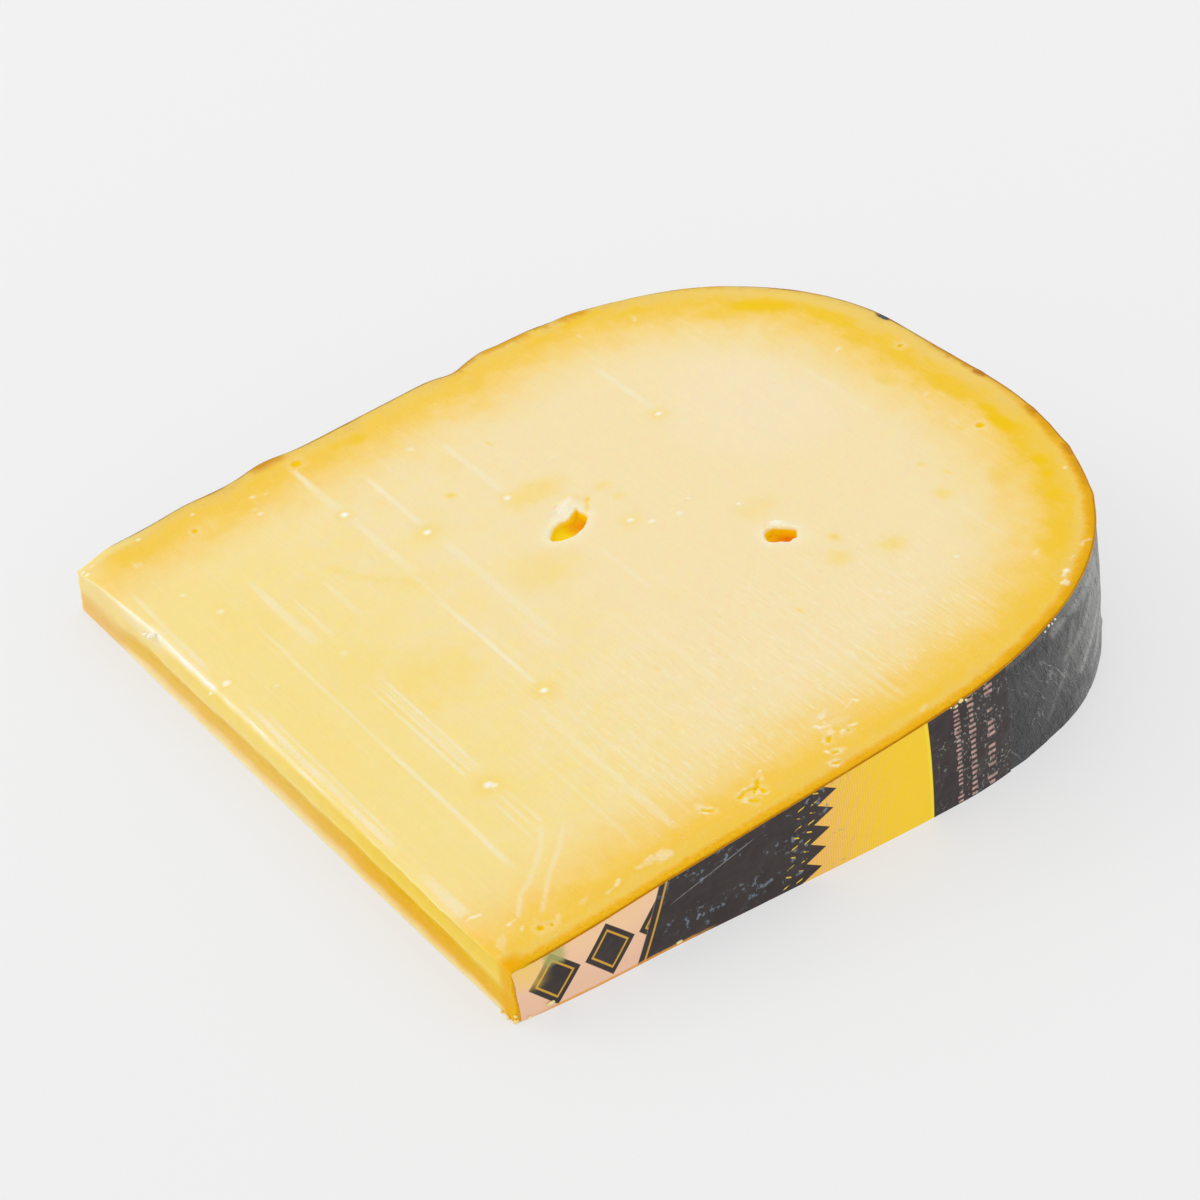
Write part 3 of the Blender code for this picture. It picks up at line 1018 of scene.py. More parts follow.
def build_cheese(material):
    """A wall of columns all round the slice, closed by the two cuts. The coated part stands in by COAT."""
    edge_line = outline(COLUMN_SPACING)
    coated = inset(edge_line, coat_depth(edge_line))
    reach = lip_reach(edge_line)
    near, far = coated[0, 1], coated[-1, 1]
    end_across = np.linspace(far, near, round((far - near) / COLUMN_SPACING) + 1)

    full_height = full_arc(coated[1:-1, 0])
    drop = np.array([wall_drops(height) for height in full_height])
    share = 1 - drop / full_height[:, None]
    lean = top_along(0) * fade(0, 8, coated[1:-1, 0])
    swell = reach[1:-1, None] * np.interp(drop, LIP_DROP, LIP_SHARE)
    out = -normals(edge_line)[1:-1]
    coated_columns = on_wheel(
        coated[1:-1, :1] + lean[:, None] * share + out[:, :1] * swell,
        coated[1:-1, 1:] + out[:, 1:] * swell,
        share,
    )
    sections = np.array([end_section(across) for across in end_across])
    end_columns = np.stack((
        sections[..., 0] + END_X,
        np.broadcast_to(end_across[:, None] + MID_Y, sections.shape[:2]),
        sections[..., 1],
    ), axis=-1)
    columns = np.concatenate((coated_columns, end_columns))
    count = len(columns)
    coated_count = len(coated_columns)

    brim = coated + np.pad(out * swell[:, -1:], ((1, 1), (0, 0)))
    top_ring = np.vstack((
        np.column_stack((brim[1:-1, 0] + lean, brim[1:-1, 1])),
        np.column_stack((top_along(sections[:, -1, 0]), end_across)),
    ))
    foot_ring = columns[:, 0, :2] - (END_X, MID_Y)
    inner = cut_points(top_ring, brim)
    top_points = np.vstack((top_ring, inner))
    edge = distance_to(evenly_spaced(brim, 0.2), top_points)
    relief, masks = top_marks(top_points, edge)
    climb = columns[..., 2] / columns[:, -1:, 2]
    lift = relief[:count, None] * climb**2
    columns += lift[..., None] * (-math.sin(WEDGE_ANGLE), 0, math.cos(WEDGE_ANGLE))

    under = grid_points((1, -FLANK), (SLICE_LENGTH, FLANK), 2.5, 2.5)
    under = under[inside(foot_ring, under)]
    under = np.vstack((under[distance_to(foot_ring, under) > 1.6], inset(coated, 0.7)[3:-3:2]))
    under_edge = distance_to(coated, under)

    rows = WALL_ROWS + 1
    points = np.vstack((
        columns.reshape(-1, 3),
        on_wheel(inner[:, 0], inner[:, 1], 1.0, relief[count:]),
        np.column_stack((under[:, 0] + END_X, under[:, 1] + MID_Y, np.zeros(len(under)))),
    ))
    after = np.roll(np.arange(count), -1)
    faces = [
        (i * rows + k, int(after[i]) * rows + k, int(after[i]) * rows + k + 1, i * rows + k + 1)
        for i in range(count)
        for k in range(WALL_ROWS)
    ]
    first_inner = count * rows
    first_under = first_inner + len(inner)
    for face in triangulate(top_ring, inner):
        faces.append([i * rows + WALL_ROWS if i < count else first_inner + i - count for i in face])
    for face in triangulate(foot_ring, under):
        faces.append([i * rows if i < count else first_under + i - count for i in face][::-1])

    def on_all(wall, top, bottom=0.0):
        """A value for each point: the wall's, with the top ring's in its last row, then the inner ones."""
        grid = np.broadcast_to(wall, (count, rows)).copy()
        grid[:, -1] = top[:count]
        return np.concatenate((grid.ravel(), top[count:], np.broadcast_to(bottom, len(under))))

    walls = {key: np.zeros((count, rows)) for key in masks}
    # The inner end's rows carry the crease's painted highlight in the white mask.
    walls["white"][coated_count:] = painted_crease_highlight(sections[..., 2], end_across[:, None] + 0 * sections[..., 2])
    attributes = {key: on_all(walls[key], mask) for key, mask in masks.items()}
    attributes["edge"] = on_all(edge[:count, None], edge, under_edge)
    heights = np.full((count, rows), NOT_ON_END)
    heights[coated_count:] = sections[..., 1]
    attributes["end_height"] = on_all(heights, np.full(len(top_points), NOT_ON_END), NOT_ON_END)
    return make_object("cheese_body", points, faces, material, attributes)


# ---- The coating and the label


def build_coat(material):
    """The black coating: a thin closed strip round both flanks and the rim, wrinkled on its outer side."""
    outer = outline(STRIP_SPACING)
    reached = way_along(outer)
    has_coat = coat_depth(outer) > 0
    outer, reached = outer[has_coat], reached[has_coat]
    inward = normals(outer)
    thickness = coat_depth(outer)
    near = fade(-40, -5, outer[:, 1])
    full_height = full_arc(outer[:, 0])
    top_share = 1 - (0.12 + (STRIP_TOP - 0.12) * near + end_droop(*outer.T)) / full_height
    share = np.linspace(0, 1, COAT_ROWS) * top_share[:, None]
    height = share * full_height[:, None]
    down = full_height[:, None] - height
    along = np.broadcast_to(reached[:, None], height.shape)
    labelled = fade(LABEL_END - 1, LABEL_END + 3, outer[:, 0]) * (outer[:, 1] < 0)
    bulge = 0.13 * rough_noise(along, height, 7.0, 71) + 0.05 * rough_noise(along, height, 1.4, 75) - 0.05
    bulge *= 1 - 0.7 * (1 - near)[:, None] * fade(0.3, 2.0, down)
    slump = bell(outer[:, 0] - SLUMP_AT, SLUMP_REACH) * near
    bulge += slump[:, None] * (0.30 * np.sin(math.pi * share) + 0.30 * fade(0, 0.35, share))
    for place, level, up, size in BURRS:
        away = np.hypot(np.hypot(*(outer - (place, level)).T)[:, None], height - up)
        bulge += size * bell(away, BURR_REACH)
    bulge = bulge + labelled[:, None] * (-LABEL_THICKNESS - SINK - bulge)
    bulge = np.maximum(bulge, 0.01 - thickness[:, None])
    outer_points = on_wheel(outer[:, :1] - inward[:, :1] * bulge, outer[:, 1:] - inward[:, 1:] * bulge, share)
    inner = outer + inward * thickness[:, None]
    inner_points = on_wheel(inner[:, :1], inner[:, 1:], share)
    sections = np.concatenate((outer_points, inner_points[:, ::-1]), axis=1)
    rows = sections.shape[1]
    half = share.shape[1]
    on_wall = np.column_stack((np.repeat(outer[:, 0], half), down.ravel()))
    wander = 0.5 * rough_noise(*on_wall.T, 3.0, 78)
    smear = np.zeros(len(on_wall))
    for path, width, strength in WAX_STREAKS:
        off = distance_to_path(path, on_wall) + wander
        smear = np.maximum(smear, strength * bell(off, width))
    smear = smear.reshape(down.shape) * (outer[:, 1:] < 0)
    cut = np.zeros((len(outer), rows))
    cut[:, half - 1 : half + 1] = 1
    cut[:, :half] = np.maximum(cut[:, :half], (1 - near)[:, None] * fade(0.25, 0.8, down))
    attributes = {
        "cut": cut.ravel(),
        "run": np.repeat(reached, rows),
        "up": both_sides(height),
        "down": both_sides(down),
        "near": np.repeat(near, rows),
        "rim": np.repeat(smoothstep(78, 103, outer[:, 0]), rows),
        "smear": both_sides(smear),
        "chip": np.repeat(smoothstep(0.5 * COAT, 2 * COAT, thickness - COAT), rows),
    }
    return make_object("coating", sections.reshape(-1, 3), closed_strip(sections), material, attributes)


def build_label(material):
    """The label's strip. It carries its place on the wheel: the radius, and the arc up from the lower cut."""
    outer = outline(STRIP_SPACING)
    outer = outer[(outer[:, 1] < 0) & (outer[:, 0] > LABEL_START) & (outer[:, 0] < LABEL_END)]
    full_height = full_arc(outer[:, 0])
    share = np.linspace(0, 1, LABEL_ROWS) * (1 - (STRIP_TOP + end_droop(*outer.T)) / full_height)[:, None]
    height = share * full_height[:, None]
    ripple = 0.05 + 0.03 * rough_noise(np.broadcast_to(outer[:, :1], height.shape), height, 6.0, 81)
    ragged = 0.30 * rough_noise(share * 9, 0 * share, 2.0, 85)
    ragged += 0.15 * rough_noise(share * 9, 0 * share, 0.6, 87)
    start = (0.6 * ragged + 0.3 * (1 - share)) * np.exp(-(outer[:, :1] - LABEL_START) / 1.5)
    inward = normals(outer)
    front = outer[:, None] - inward[:, None] * ripple[..., None]
    back = outer[:, None] + inward[:, None] * LABEL_THICKNESS
    back_across = np.broadcast_to(back[..., 1], height.shape)
    sections = np.concatenate((
        on_wheel(front[..., 0] + start, front[..., 1], share),
        on_wheel((back[..., 0] + start)[:, ::-1], back_across, share[:, ::-1]),
    ), axis=1)
    attributes = {"print_along": both_sides(outer[:, :1] + start), "print_up": both_sides(height)}
    return make_object("label_strip", sections.reshape(-1, 3), closed_strip(sections), material, attributes)


# ---- Crumbs


def lump(size, seed, across_steps=12, up_steps=9):
    """A ragged closed lump about the origin: points and faces."""
    turn = np.arange(across_steps) / across_steps * 2 * math.pi
    rise = np.linspace(-math.pi / 2, math.pi / 2, up_steps + 2)[1:-1]
    turns, rises = np.meshgrid(turn, rise)
    ball = np.stack((np.cos(turns) * np.cos(rises), np.sin(turns) * np.cos(rises), np.sin(rises)), axis=-1)
    ball = np.vstack((ball.reshape(-1, 3), (0, 0, -1), (0, 0, 1)))
    x, y, z = ball.T * 1.1
    ragged = 0.45 * rough_noise(x + 3 * z, y - 2 * z, 0.8, seed, 3)
    points = ball * (1 + ragged[:, None]) * size
    faces = []
    for j in range(up_steps - 1):
        for i in range(across_steps):
            after = (i + 1) % across_steps
            low, high = j * across_steps, (j + 1) * across_steps
            faces.append((low + i, low + after, high + after, high + i))
    last = len(ball) - 1
    for i in range(across_steps):
        after = (i + 1) % across_steps
        faces.append((after, i, last - 1))
        faces.append(((up_steps - 1) * across_steps + i, (up_steps - 1) * across_steps + after, last))
    return points, faces


def build_crumbs(material):
    """Crumbs and flakes that cling to the slice's edges, joined in one mesh."""
    points, faces, tints = [], [], []
    for i, (along, across, share, lift, size, turn, tint) in enumerate(CRUMBS):
        lump_points, lump_faces = lump(np.array(size) / 2, 300 + i)
        angle = math.radians(turn)
        cosine, sine = math.cos(angle), math.sin(angle)
        spin = np.array(((cosine, -sine, 0), (sine, cosine, 0), (0, 0, 1)))
        first = sum(len(group) for group in points)
        points.append(lump_points @ spin.T + on_wheel(along, across, share, lift))
        faces += [[first + k for k in face] for face in lump_faces]
        tints += [tint] * len(lump_points)
    return make_object("crumbs", np.vstack(points), faces, material, {"tint": np.array(tints)})


# ---- Materials


def srgb(red, green, blue):
    """A colour given as it shows on a screen, from 0 to 255, in the linear values that shaders take."""
    def linear(value):
        value /= 255
        return value / 12.92 if value <= 0.04045 else ((value + 0.055) / 1.055) ** 2.4

    return (linear(red), linear(green), linear(blue), 1.0)


def under_gloss(red, green, blue):
    """The shader's colour for cheese that should show as this one, under the gloss that lies over it."""
    *channels, alpha = srgb(red, green, blue)
    return (*(max(0.0, (value - GLOSS_VEIL) / (1 - GLOSS_VEIL)) for value in channels), alpha)


class Value:
    """What a node gives out over the surface, a number or a colour. Its arithmetic makes more nodes."""

    def __init__(self, shading, socket):
        self.shading = shading
        self.socket = socket

    def __add__(self, other):
        return self.shading.math("ADD", self, other)

    def __sub__(self, other):
        return self.shading.math("SUBTRACT", self, other)

    def __mul__(self, other):
        return self.shading.math("MULTIPLY", self, other)

    def __truediv__(self, other):
        return self.shading.math("DIVIDE", self, other)

    def __abs__(self):
        return self.shading.math("ABSOLUTE", self)

    def at_most(self, other):
        return self.shading.math("MINIMUM", self, other)

    def at_least(self, other):
        return self.shading.math("MAXIMUM", self, other)

    def zigzag(self, height):
        """Up from 0 to height and down again, over and over."""
        return self.shading.math("PINGPONG", self, height)

    def ease(self, low, high, start=0.0, end=1.0):
        """The way from low to high, eased, as a number from start to end."""
        values = (self, low, high, start, end)
        return self.shading.made("MapRange", 0, values, interpolation_type="SMOOTHSTEP")

    def band(self, low, high, soft):
        """1 between low and high, with soft sides."""
        return self.ease(low - soft, low + soft) * self.ease(high - soft, high + soft, 1.0, 0.0)

    def wobble(self, noise, reach):
        """With noise, which runs from 0 to 1, added as up to half of reach either way."""
        return self + (noise - 0.5) * reach


class Shading:
    """A material's nodes, made by short calls. What it is given is a number, a Value, or a colour to show.

    tone turns a colour as it should show, (red, green, blue) from 0 to 255, into the shader's own. colour is
    the surface's colour so far, and paint lays more over it.
    """

    def __init__(self, name, tone=None):
        self.material = bpy.data.materials.new(name)
        self.material.use_nodes = True
        self.tree = self.material.node_tree
        self.shader = self.tree.nodes["Principled BSDF"]
        self.tone = tone
        self.colour = None
        self.place = self.vector("MULTIPLY", self.made("TexCoord", "Object", ()), (1 / MM, 1 / MM, 1 / MM))

    def feed(self, socket, value):
        if isinstance(value, Value):
            self.tree.links.new(value.socket, socket)
        else:
            socket.default_value = value

    def node(self, kind, **settings):
        node = self.tree.nodes.new("ShaderNode" + kind)
        for key, value in settings.items():
            setattr(node, key, value)
        return node

    def made(self, kind, output, values, **settings):
        """One output of a new node, whose inputs are fed in their order."""
        node = self.node(kind, **settings)
        for socket, value in zip(node.inputs, values):
            self.feed(socket, value)
        return Value(self, node.outputs[output])

    def math(self, operation, a, b=0.0):
        return self.made("Math", 0, (a, b), operation=operation)

    def vector(self, operation, *values):
        return self.made("VectorMath", 0, values, operation=operation)

    def attribute(self, name):
        return self.made("Attribute", "Fac", (), attribute_name=name)

    def combined(self, x, y):
        return self.made("CombineXYZ", 0, (x, y, 0.0))

    def blend(self, share, under, over):
        """One colour laid over another by a share."""
        node = self.node("Mix", data_type="RGBA")
        for index, value in ((0, share), (6, under), (7, over)):
            self.feed(node.inputs[index], self.tone(*value) if isinstance(value, tuple) else value)
        return Value(self, node.outputs[2])

    def paint(self, share, over):
        self.colour = self.blend(share, self.colour, over)

    def ramp(self, value, top, stops):
        """A colour ramp over value from 0 to top, through (value, colour) stops."""
        node = self.node("ValToRGB")
        elements = node.color_ramp.elements
        while len(elements) < len(stops):
            elements.new(1.0)
        for element, (position, colour) in zip(elements, stops):
            element.position = position / top
            element.color = self.tone(*colour)
        self.feed(node.inputs[0], value / top)
        return Value(self, node.outputs[0])

    def noise(self, scale, detail, roughness, stretch=(1, 1, 1), offset=(0, 0, 0), place=None, turn=None):
        """Noise from 0 to 1 whose grains are about 1 / scale millimetres, divided by stretch."""
        place = place or self.place
        if turn is not None:
            place = self.made("Mapping", 0, (place, (0, 0, 0), (0, 0, math.radians(turn))))
        node = self.node("TexNoise")
        self.feed(node.inputs["Vector"], self.vector("MULTIPLY_ADD", place, stretch, offset))
        for key, value in (("Scale", scale), ("Detail", detail), ("Roughness", roughness)):
            node.inputs[key].default_value = value
        return Value(self, node.outputs[0])

    def bump(self, *layers):
        """Bump from (height, how many millimetres a height of 1 is) layers, added up."""
        normal = None
        for height, distance in layers:
            node = self.node("Bump")
            node.inputs["Distance"].default_value = distance * MM
            node.inputs["Strength"].default_value = 1.0
            self.feed(node.inputs["Height"], height)
            if normal is not None:
                self.feed(node.inputs["Normal"], normal)
            normal = Value(self, node.outputs[0])
        return normal

    def finish(self, **values):
        """Feeds the shader's sockets, named with underscores for spaces, and colour to Base_Color."""
        for key, value in {"Base_Color": self.colour, **values}.items():
            self.feed(self.shader.inputs[key.replace("_", " ")], value)
        return self.material


def cheese_material():
    s = Shading("aged_cheese", under_gloss)
    edge = s.attribute("edge")
    mottle = s.noise(0.22, 4, 0.6)
    blotch = s.noise(0.5, 4, 0.65, stretch=(1, 0.45, 1), offset=(7, 3, 0))
    fine = s.noise(1.3, 4, 0.6)
    grit = s.noise(2.6, 3, 0.7, offset=(3, 9, 1))
    grain = s.noise(2.4, 3, 0.7, offset=(8, 1, 4))
    along = s.made("SeparateXYZ", "X", (s.place,)) - END_X
    across = s.made("SeparateXYZ", "Y", (s.place,)) - MID_Y
    near = across.ease(-30, 20, 1, 0)
    rim = along.ease(84, 104)

    # The paste, and the rind's colours by the distance from the edge.
    lemon = along.wobble(mottle, 60).ease(4, 56, 1, 0)
    paste = s.blend(lemon, (246, 225, 176), (248, 223, 146))
    rosy_along = (along - 86) / 14
    rosy_across = (across - 15) / 18
    rosy = rosy_along * rosy_along + rosy_across * rosy_across
    paste = s.blend(rosy.wobble(mottle, 0.6).ease(0.0, 1.1, 0.8, 0), paste, (246, 227, 188))
    band = edge.wobble(mottle, 7).wobble(blotch, 5)
    s.colour = s.blend(band.ease(7, 21), s.ramp(band, 20, RIND_COLOURS), paste)

    # What the knife left: drawn lines, short dashes where it chattered, and grit.
    drag = s.noise(1.0, 3, 0.65, stretch=(2.4, 0.045, 2.4))
    dashes = s.noise(1.0, 3, 0.6, stretch=(2.6, 0.5, 2.6), offset=(4, 2, 0))
    chatter = across.wobble(mottle, 16).ease(-50, -40) * across.wobble(mottle, 20).ease(-30, -2, 1, 0)
    chatter = chatter * along.ease(14, 34) * along.ease(68, 92, 1, 0)
    s.paint(drag.ease(0.52, 0.68) * chatter.ease(0, 1, 0.10, 0.35) * edge.ease(3, 9), (249, 236, 204))
    s.paint(dashes.ease(0.56, 0.70) * chatter.ease(0, 1, 0.06, 0.50), (250, 238, 208))
    s.paint(dashes.ease(0.44, 0.30) * chatter.ease(0, 1, 0.03, 0.24), (244, 206, 110))
    crumbly = edge.ease(6, 12, 1, 0) * edge.ease(0.8, 2.0) * grit.ease(0.60, 0.74, 0, 0.4)
    s.paint(crumbly, (251, 228, 164))
    s.paint(grit.ease(0.60, 0.78, 0, 0.22), (252, 240, 214))
    s.paint(fine.ease(0.40, 0.26, 0, 0.16), (243, 206, 120))

    # Saturated bands and stains towards the rind, and a hairline of brown on the edge itself.
    patchy = edge.wobble(mottle, 7).wobble(blotch, 7)
    golden_band = patchy.band(3.2, 6.0, 1.1) * rim.ease(0, 1, 0.15, 0.50)
    s.paint(golden_band * dashes.ease(0.40, 0.60, 0.45, 1.35), (242, 198, 48))
    strip = edge.wobble(blotch, 1.4).band(1.1, 2.6, 0.5) * near.ease(0.2, 0.9, 0.55, 0.25) * rim
    s.paint(strip, (240, 206, 112))
    s.paint(s.attribute("golden"), (246, 213, 90))
    s.paint(s.attribute("amber").at_most(1.0), (243, 198, 4))
    skin = s.blend(near, (234, 198, 104), (243, 180, 0))
    reach = edge.wobble(blotch, 0.8).wobble(fine, 0.8).wobble(grit, 0.9)
    flank = near * rim.ease(0, 1, 1, 0.85)
    skin_share = reach.ease(flank.ease(0, 1, 0.2, 0.8), flank.ease(0, 1, 0.7, 2.0), 0.97, 0)
    s.paint(skin_share, skin)
    s.paint(skin_share * near * grain.ease(0.54, 0.68, 0, 0.5), (250, 204, 60))
    s.paint(skin_share * near * grain.ease(0.46, 0.34, 0, 0.5), (224, 148, 0))
    verge = s.blend(near, (220, 168, 74), (234, 158, 0))
    s.paint(edge.ease(0.05, 0.5, near.ease(0, 1, 0.5, 0.85), 0), verge)
    brown = s.attribute("brown").wobble(fine, 0.3)
    s.paint(s.attribute("crust").at_most(0.95), s.blend(brown, (236, 172, 2), (186, 106, 8)))
    hairline = edge.wobble(fine, 0.24).ease(0.10, 0.26, 1, 0)
    unbroken = blotch.ease(0.40, 0.60, 0.30, 0.95).at_least(near * 0.95)
    s.paint(hairline * unbroken, s.blend(near, (190, 116, 34), (200, 116, 18)))
    far_corner = along.ease(4, 15, 0.85, 0) * across.ease(45, 50) * reach.ease(1.0, 2.4, 1, 0)
    s.paint(far_corner, (241, 217, 140))
    s.paint(along.ease(0.5, 5, 0.7, 0) * across.ease(46, 52), (243, 218, 142))

    # The inner end, by the height from the foot, with painted shade in its recess and painted light on its
    # ledge and foot lip.
    height = s.attribute("end_height")
    up = height.wobble(mottle, 0.3)
    facing = s.ramp(up, 9, END_COLOURS_AND_SHADE)
    facing = s.blend(across.ease(-32, 2, 1, 0), facing, s.ramp(up, 9, END_NEAR_COLOURS_AND_SHADE))
    # Paler on the facet under the crease towards the far side: the crease's painted highlight, spread down
    # the facet.
    facing = s.blend(across.ease(25, 35) * up.ease(4.8, 6.6), facing, (242, 223, 166))
    paler = s.blend(up.ease(1.5, 5.0), (236, 190, 106), (244, 217, 140))
    facing = s.blend(across.ease(39, 46, 0, 0.85), facing, paler)
    facing = s.blend(grit.ease(0.58, 0.76, 0, 0.25), facing, (252, 236, 196))
    s.colour = s.blend(height.ease(7.6, 9.6), facing, s.colour)
    corner = across.ease(-FLANK + 2.2, -FLANK + 4.0, 0.97, 0) * along.ease(1.2, 3.4, 1, 0)
    s.paint(corner, (238, 176, 0))

    # The marks that the mesh carries.
    pale = s.attribute("pale").at_most(1.0) * grit.ease(0.38, 0.62, 0.55, 1.0)
    s.paint(pale, (247, 235, 206))
    depth = s.attribute("depth")
    # Eyes, pits and cracks by their depth, with painted shade deeper down.
    s.paint(depth.ease(0.08, 0.5), s.ramp(depth.wobble(fine, 0.5), 3, EYE_COLOURS_AND_SHADE))
    # White: crystals, torn mounds and flake edges, with the crease's painted highlight and painted glints by
    # the rim.
    s.paint(s.attribute("white").at_most(0.95), (254, 249, 236))

    return s.finish(
        Roughness=mottle.ease(0.3, 0.7, 0.30, 0.46),
        Specular_IOR_Level=0.06,
        Subsurface_Weight=0.6,
        Subsurface_Radius=(1.0, 0.55, 0.18),
        Subsurface_Scale=0.0016,
        Normal=s.bump((fine, 0.05), (dashes, 0.05), (grit, 0.03)),
    )


def coat_material():
    """Black wax: brushed both ways, smeared, creased, brown where the knife cut it; painted sheen by the rim.
    """
    s = Shading("black_coating", srgb)
    run, up, down, rim = (s.attribute(name) for name in ("run", "up", "down", "rim"))
    flat = s.combined(run, up)
    patches = s.noise(0.15, 3, 0.6, place=flat)
    smears = s.noise(0.36, 4, 0.7, place=flat, turn=60, stretch=(0.5, 1.5, 1), offset=(5, 2, 0))
    brushed = s.noise(0.9, 4, 0.75, place=flat, turn=62, stretch=(0.14, 1.8, 1))
    crossed = s.noise(0.8, 4, 0.75, place=flat, turn=-48, stretch=(0.16, 1.8, 1), offset=(9, 4, 0))
    speckle = s.noise(1.8, 4, 0.7, place=flat)
    s.colour = s.blend(patches.ease(0.35, 0.65), (28, 28, 31), (70, 70, 69))
    # Painted sheen: towards the rim the wax's patches, smears and brush marks are painted lighter, and away
    # from it darker, over the wax's own grey.
    s.paint(rim * patches.ease(0.34, 0.62, 0.30, 0.90), (150, 150, 148))
    s.paint(smears.ease(0.50, 0.64, 0, 0.55), s.blend(rim, (110, 109, 106), (164, 163, 160)))
    s.paint(smears.ease(0.45, 0.32, 0, 0.75), s.blend(rim, (30, 30, 35), (62, 62, 70)))
    s.paint(brushed.ease(0.45, 0.33, 0, 0.55), s.blend(rim, (34, 34, 40), (84, 84, 92)))
    marks = brushed.ease(0.56, 0.68).at_least(crossed.ease(0.57, 0.69))
    s.paint(marks * rim.ease(0, 1, 0.25, 0.45), (168, 167, 164))
    s.paint(speckle.ease(0.64, 0.76, 0, 0.35), (158, 157, 152))
    s.paint(rim.wobble(smears, 0.3).ease(0.0, 0.45, 0.55, 0), (56, 56, 58))
    s.paint(s.attribute("smear") * brushed.ease(0.38, 0.60, 0.5, 1), (188, 188, 186))

    # Creases that wander up the wall, and a paler band under the cut.
    folds = s.noise(0.20, 3, 0.5, place=flat, turn=55, stretch=(0.40, 1.5, 1), offset=(1, 7, 0))
    crease = abs(folds - 0.5).ease(0.003, 0.016, 1, 0)
    s.paint(crease * patches.ease(0.42, 0.60, 0.05, 0.35), (176, 175, 172))
    s.paint(down.wobble(brushed, 1.0).band(0.4, 1.3, 0.3) * rim.ease(0, 0.8, 0.2, 0.55), (146, 145, 142))
    s.paint(up.ease(0.5, 7, 0.6, 0) * rim.ease(0, 1, 1, 0.5), (42, 42, 47))
    patched = patches.ease(0.42, 0.58)
    brown_cut = s.blend(patched, (158, 98, 30), (204, 144, 62))
    amber_cut = s.blend(patched, (176, 98, 40), (228, 158, 80))
    lip = s.blend(s.attribute("near"), s.blend(rim, brown_cut, amber_cut), (150, 92, 40))
    s.paint(s.attribute("cut"), s.blend(s.attribute("chip"), lip, (58, 60, 74)))
    return s.finish(
        Roughness=smears.ease(0.3, 0.7, 0.24, 0.44),
        Specular_IOR_Level=0.35,
        Normal=s.bump((brushed, 0.14), (crossed, 0.10), (smears, 1.0), (crease, 0.15)),
    )


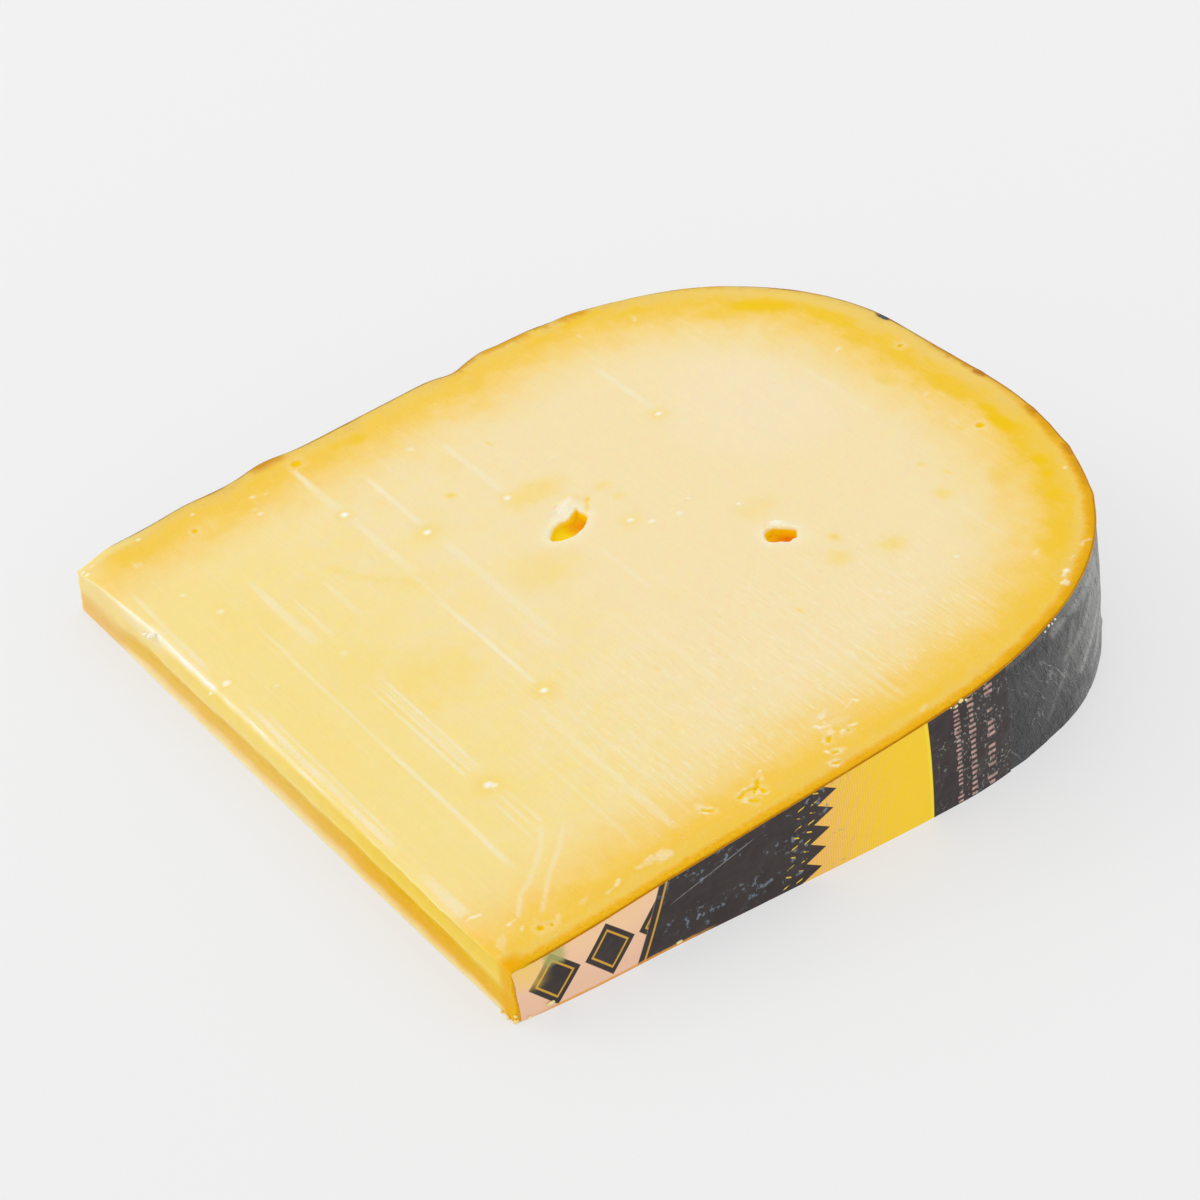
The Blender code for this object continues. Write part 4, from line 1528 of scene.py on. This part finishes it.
def label_material():
    """A generic print: diamonds on salmon, a black field, zigzag into dotted gold, and rows of dashes."""
    s = Shading("printed_label", srgb)
    along, up = s.attribute("print_along"), s.attribute("print_up")
    flat = s.combined(along, up)
    worn = s.noise(0.8, 4, 0.65, place=flat)
    cloud = s.noise(0.25, 2, 0.5, place=flat, offset=(3, 8, 0))
    black = s.blend(cloud, (34, 22, 20), (56, 46, 43))
    salmon = s.blend(up.wobble(cloud, 6).ease(2, 8), (242, 196, 164), (250, 206, 160))
    top = (along + INNER_RADIUS) * WEDGE_ANGLE

    # Black diamonds with a gold pinstripe inside, up to a slanting gold line.
    beside = (along - DIAMOND_FIRST).zigzag(DIAMOND_SPACING / 2)
    out = beside / DIAMOND_HALF_LENGTH + abs(up - top * 0.5) / DIAMOND_HALF_HEIGHT
    slanted = along + up * PRINT_SLANT
    ground = slanted.ease(16.4, 16.6, 1, 0)
    s.colour = s.blend(ground, black, salmon)
    s.paint(out.ease(0.98, 1.02, 1, 0) * ground * along.ease(1.7, 1.8), black)
    s.paint(out.band(0.66, 0.76, 0.02) * ground, GOLD)
    s.paint((slanted - 17.4).band(0.0, 0.3, 0.05), GOLD)

    # The dotted gold field, with a zigzag edge and small gold diamonds in the black before it.
    beyond = along - FIELD_START - (up.zigzag(1.3) * 2.0 + up * 0.30)
    turns = 2 * math.pi / DOT_PITCH / 1.414
    dots = s.math("SINE", (along + up) * turns) * s.math("SINE", (along - up) * turns)
    covered = (dots + along.ease(40, 60) * 1.35).ease(0.1, 0.5)
    field = s.blend(covered, (242, 180, 108), (253, 210, 20))
    s.paint(beyond.ease(-0.06, 0.06) * along.ease(60.65, 60.75, 1, 0), field)
    s.paint(along.band(60.2, 60.68, 0.08), (255, 222, 24))
    gem = beyond.zigzag(0.95) / 0.34 + (up + 0.65).zigzag(0.65) / 0.26
    gems = gem.ease(0.85, 1.05, 1, 0) * beyond.band(-4.4, -0.7, 0.1) * worn.ease(0.42, 0.50)
    s.paint(gems, (244, 200, 52))

    # Rows of uneven dashes in the black ring.
    for row, length, pitch, seed in DASH_ROWS:
        cell = s.math("FLOOR", up / pitch)
        chance = s.made("TexWhiteNoise", "Value", (s.combined(cell, seed),), noise_dimensions="2D")
        end = (chance * 0.6 + 0.4) * (length / 2)
        bar = (abs(along - row) - end).ease(-0.06, 0.06, 1, 0) * (up / pitch - cell).band(0.22, 0.72, 0.08)
        s.paint(bar * worn.ease(0.38, 0.55, 0.35, 0.9) * chance.ease(0.10, 0.12), (208, 164, 152))

    # Scuffs, flecks of dried paste, one long scratch, and smudges of paste by the inner end and at the foot.
    scuff = s.noise(1.1, 4, 0.6, place=flat, offset=(2, 5, 0))
    clumps = s.noise(0.30, 2, 0.5, place=flat, offset=(8, 2, 0))
    scuffed = scuff.ease(0.54, 0.64) * along.band(21, 47, 2.5) * clumps.ease(0.50, 0.60) * 0.85
    s.paint(scuffed, (120, 130, 144))
    fleck = s.noise(2.0, 4, 0.6, place=flat, offset=(6, 1, 0))
    flecks = fleck.ease(0.56, 0.65) * along.band(62.0, 75, 1.5) * clumps.ease(0.42, 0.54) * 0.8
    s.paint(flecks, (160, 166, 154))
    scratch = abs(up - (along * 0.30 - 0.2)).ease(0.03, 0.09, 1, 0)
    s.paint(scratch * along.band(22.5, 34, 0.8) * worn.ease(0.35, 0.55, 0.4, 0.9), (150, 146, 148))
    s.paint(along.ease(3.2, 6, 1, 0) * up.wobble(cloud, 5).ease(3.5, 7.0) * 0.7, (248, 206, 90))
    smudge = along.wobble(worn, 1.5).band(4.6, 7.4, 0.5) * up.wobble(worn, 2).ease(5.6, 6.8) * 0.8
    s.paint(smudge, (176, 174, 96))
    foot = up.wobble(worn, 0.3).ease(0.20, 0.50, 1, 0) * along.wobble(cloud, 8).band(4, 26, 3) * 0.9
    s.paint(foot, (228, 158, 62))
    return s.finish(
        Roughness=cloud.ease(0.3, 0.7, 0.30, 0.42) + scuffed * 0.3,
        Specular_IOR_Level=0.35,
        Normal=s.bump((worn, 0.04), (cloud, 0.4)),
    )


def crumb_material():
    s = Shading("cheese_crumb", under_gloss)
    s.colour = s.blend(s.attribute("tint"), (246, 214, 100), (254, 244, 222))
    s.paint(s.noise(2.0, 3, 0.6).ease(0.45, 0.65, 0, 0.3), (253, 236, 170))
    return s.finish(
        Roughness=0.5,
        Specular_IOR_Level=0.15,
        Subsurface_Weight=0.3,
        Subsurface_Radius=(1.0, 0.6, 0.2),
        Subsurface_Scale=0.001,
    )


# ---- The stage: sizes in metres, turns in degrees

FLOOR_HALF = 3.0
SKY_STRENGTH = 0.93
WINDOW = {"azimuth": 215, "elevation": 30, "distance": 1.2, "size": 0.35, "power": 2.0}
CAMERA = {"azimuth": -31.73, "elevation": 33.545, "roll": -4.614, "distance": 0.4056}
LENS, SENSOR_WIDTH = 95.75, 36.0
TARGET = (44.35, -8.09, 15.0)  # what the camera looks at, in millimetres: along, across, height


def floor():
    mesh = bpy.data.meshes.new("floor")
    corners = [(x * FLOOR_HALF, y * FLOOR_HALF, 0) for x, y in ((-1, -1), (1, -1), (1, 1), (-1, 1))]
    mesh.from_pydata(corners, [], [(0, 1, 2, 3)])
    mesh.materials.append(Shading("pale_stone").finish(
        Base_Color=(0.28, 0.282, 0.28, 1),
        Roughness=0.7,
        Emission_Color=(1.0, 1.0, 1.0, 1),
        Emission_Strength=0.56,
    ))
    obj = add_object("floor", mesh)


def aim(obj, target, back, roll=0.0):
    """Turns obj so that it looks against back at the target, rolled about that line."""
    side = Vector((0, 0, 1)).cross(back).normalized()
    up = back.cross(side)
    axes = Matrix((side, up, back)).transposed() @ Matrix.Rotation(roll, 3, "Z")
    obj.matrix_world = Matrix.Translation(target) @ axes.to_4x4()


def direction(azimuth, elevation):
    a, e = math.radians(azimuth), math.radians(elevation)
    return Vector((math.sin(a) * math.cos(e), -math.cos(a) * math.cos(e), math.sin(e)))


def studio():
    """A white sky all round, and one soft window behind the slice."""
    scene = bpy.context.scene
    scene.view_settings.view_transform = "Standard"
    world = bpy.data.worlds.new("studio")
    world.use_nodes = True
    sky = world.node_tree.nodes["Background"]
    sky.inputs["Color"].default_value = (1.0, 1.0, 1.0, 1.0)
    sky.inputs["Strength"].default_value = SKY_STRENGTH
    scene.world = world
    light = bpy.data.lights.new("window", "AREA")
    light.size = WINDOW["size"]
    light.energy = WINDOW["power"]
    back = direction(WINDOW["azimuth"], WINDOW["elevation"])
    aim(add_object("window", light), back * WINDOW["distance"], back)


def camera():
    data = bpy.data.cameras.new("camera")
    data.sensor_width = SENSOR_WIDTH
    data.lens = LENS
    obj = add_object("camera", data)
    back = direction(CAMERA["azimuth"], CAMERA["elevation"])
    along, across, height = TARGET
    target = Vector((along + END_X, across + MID_Y, height)) * MM
    aim(obj, target + back * CAMERA["distance"], back, math.radians(CAMERA["roll"]))
    bpy.context.scene.camera = obj


def main():
    body = build_cheese(cheese_material())
    coat = build_coat(coat_material())
    strip = build_label(label_material())
    crumbs = build_crumbs(crumb_material())
    for piece, slot in ((body, "cheese"), (coat, "cheese"), (crumbs, "cheese"), (strip, "label")):
        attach(piece, "root")
    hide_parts("cheese")
    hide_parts("label")
    floor()
    studio()
    camera()


main()
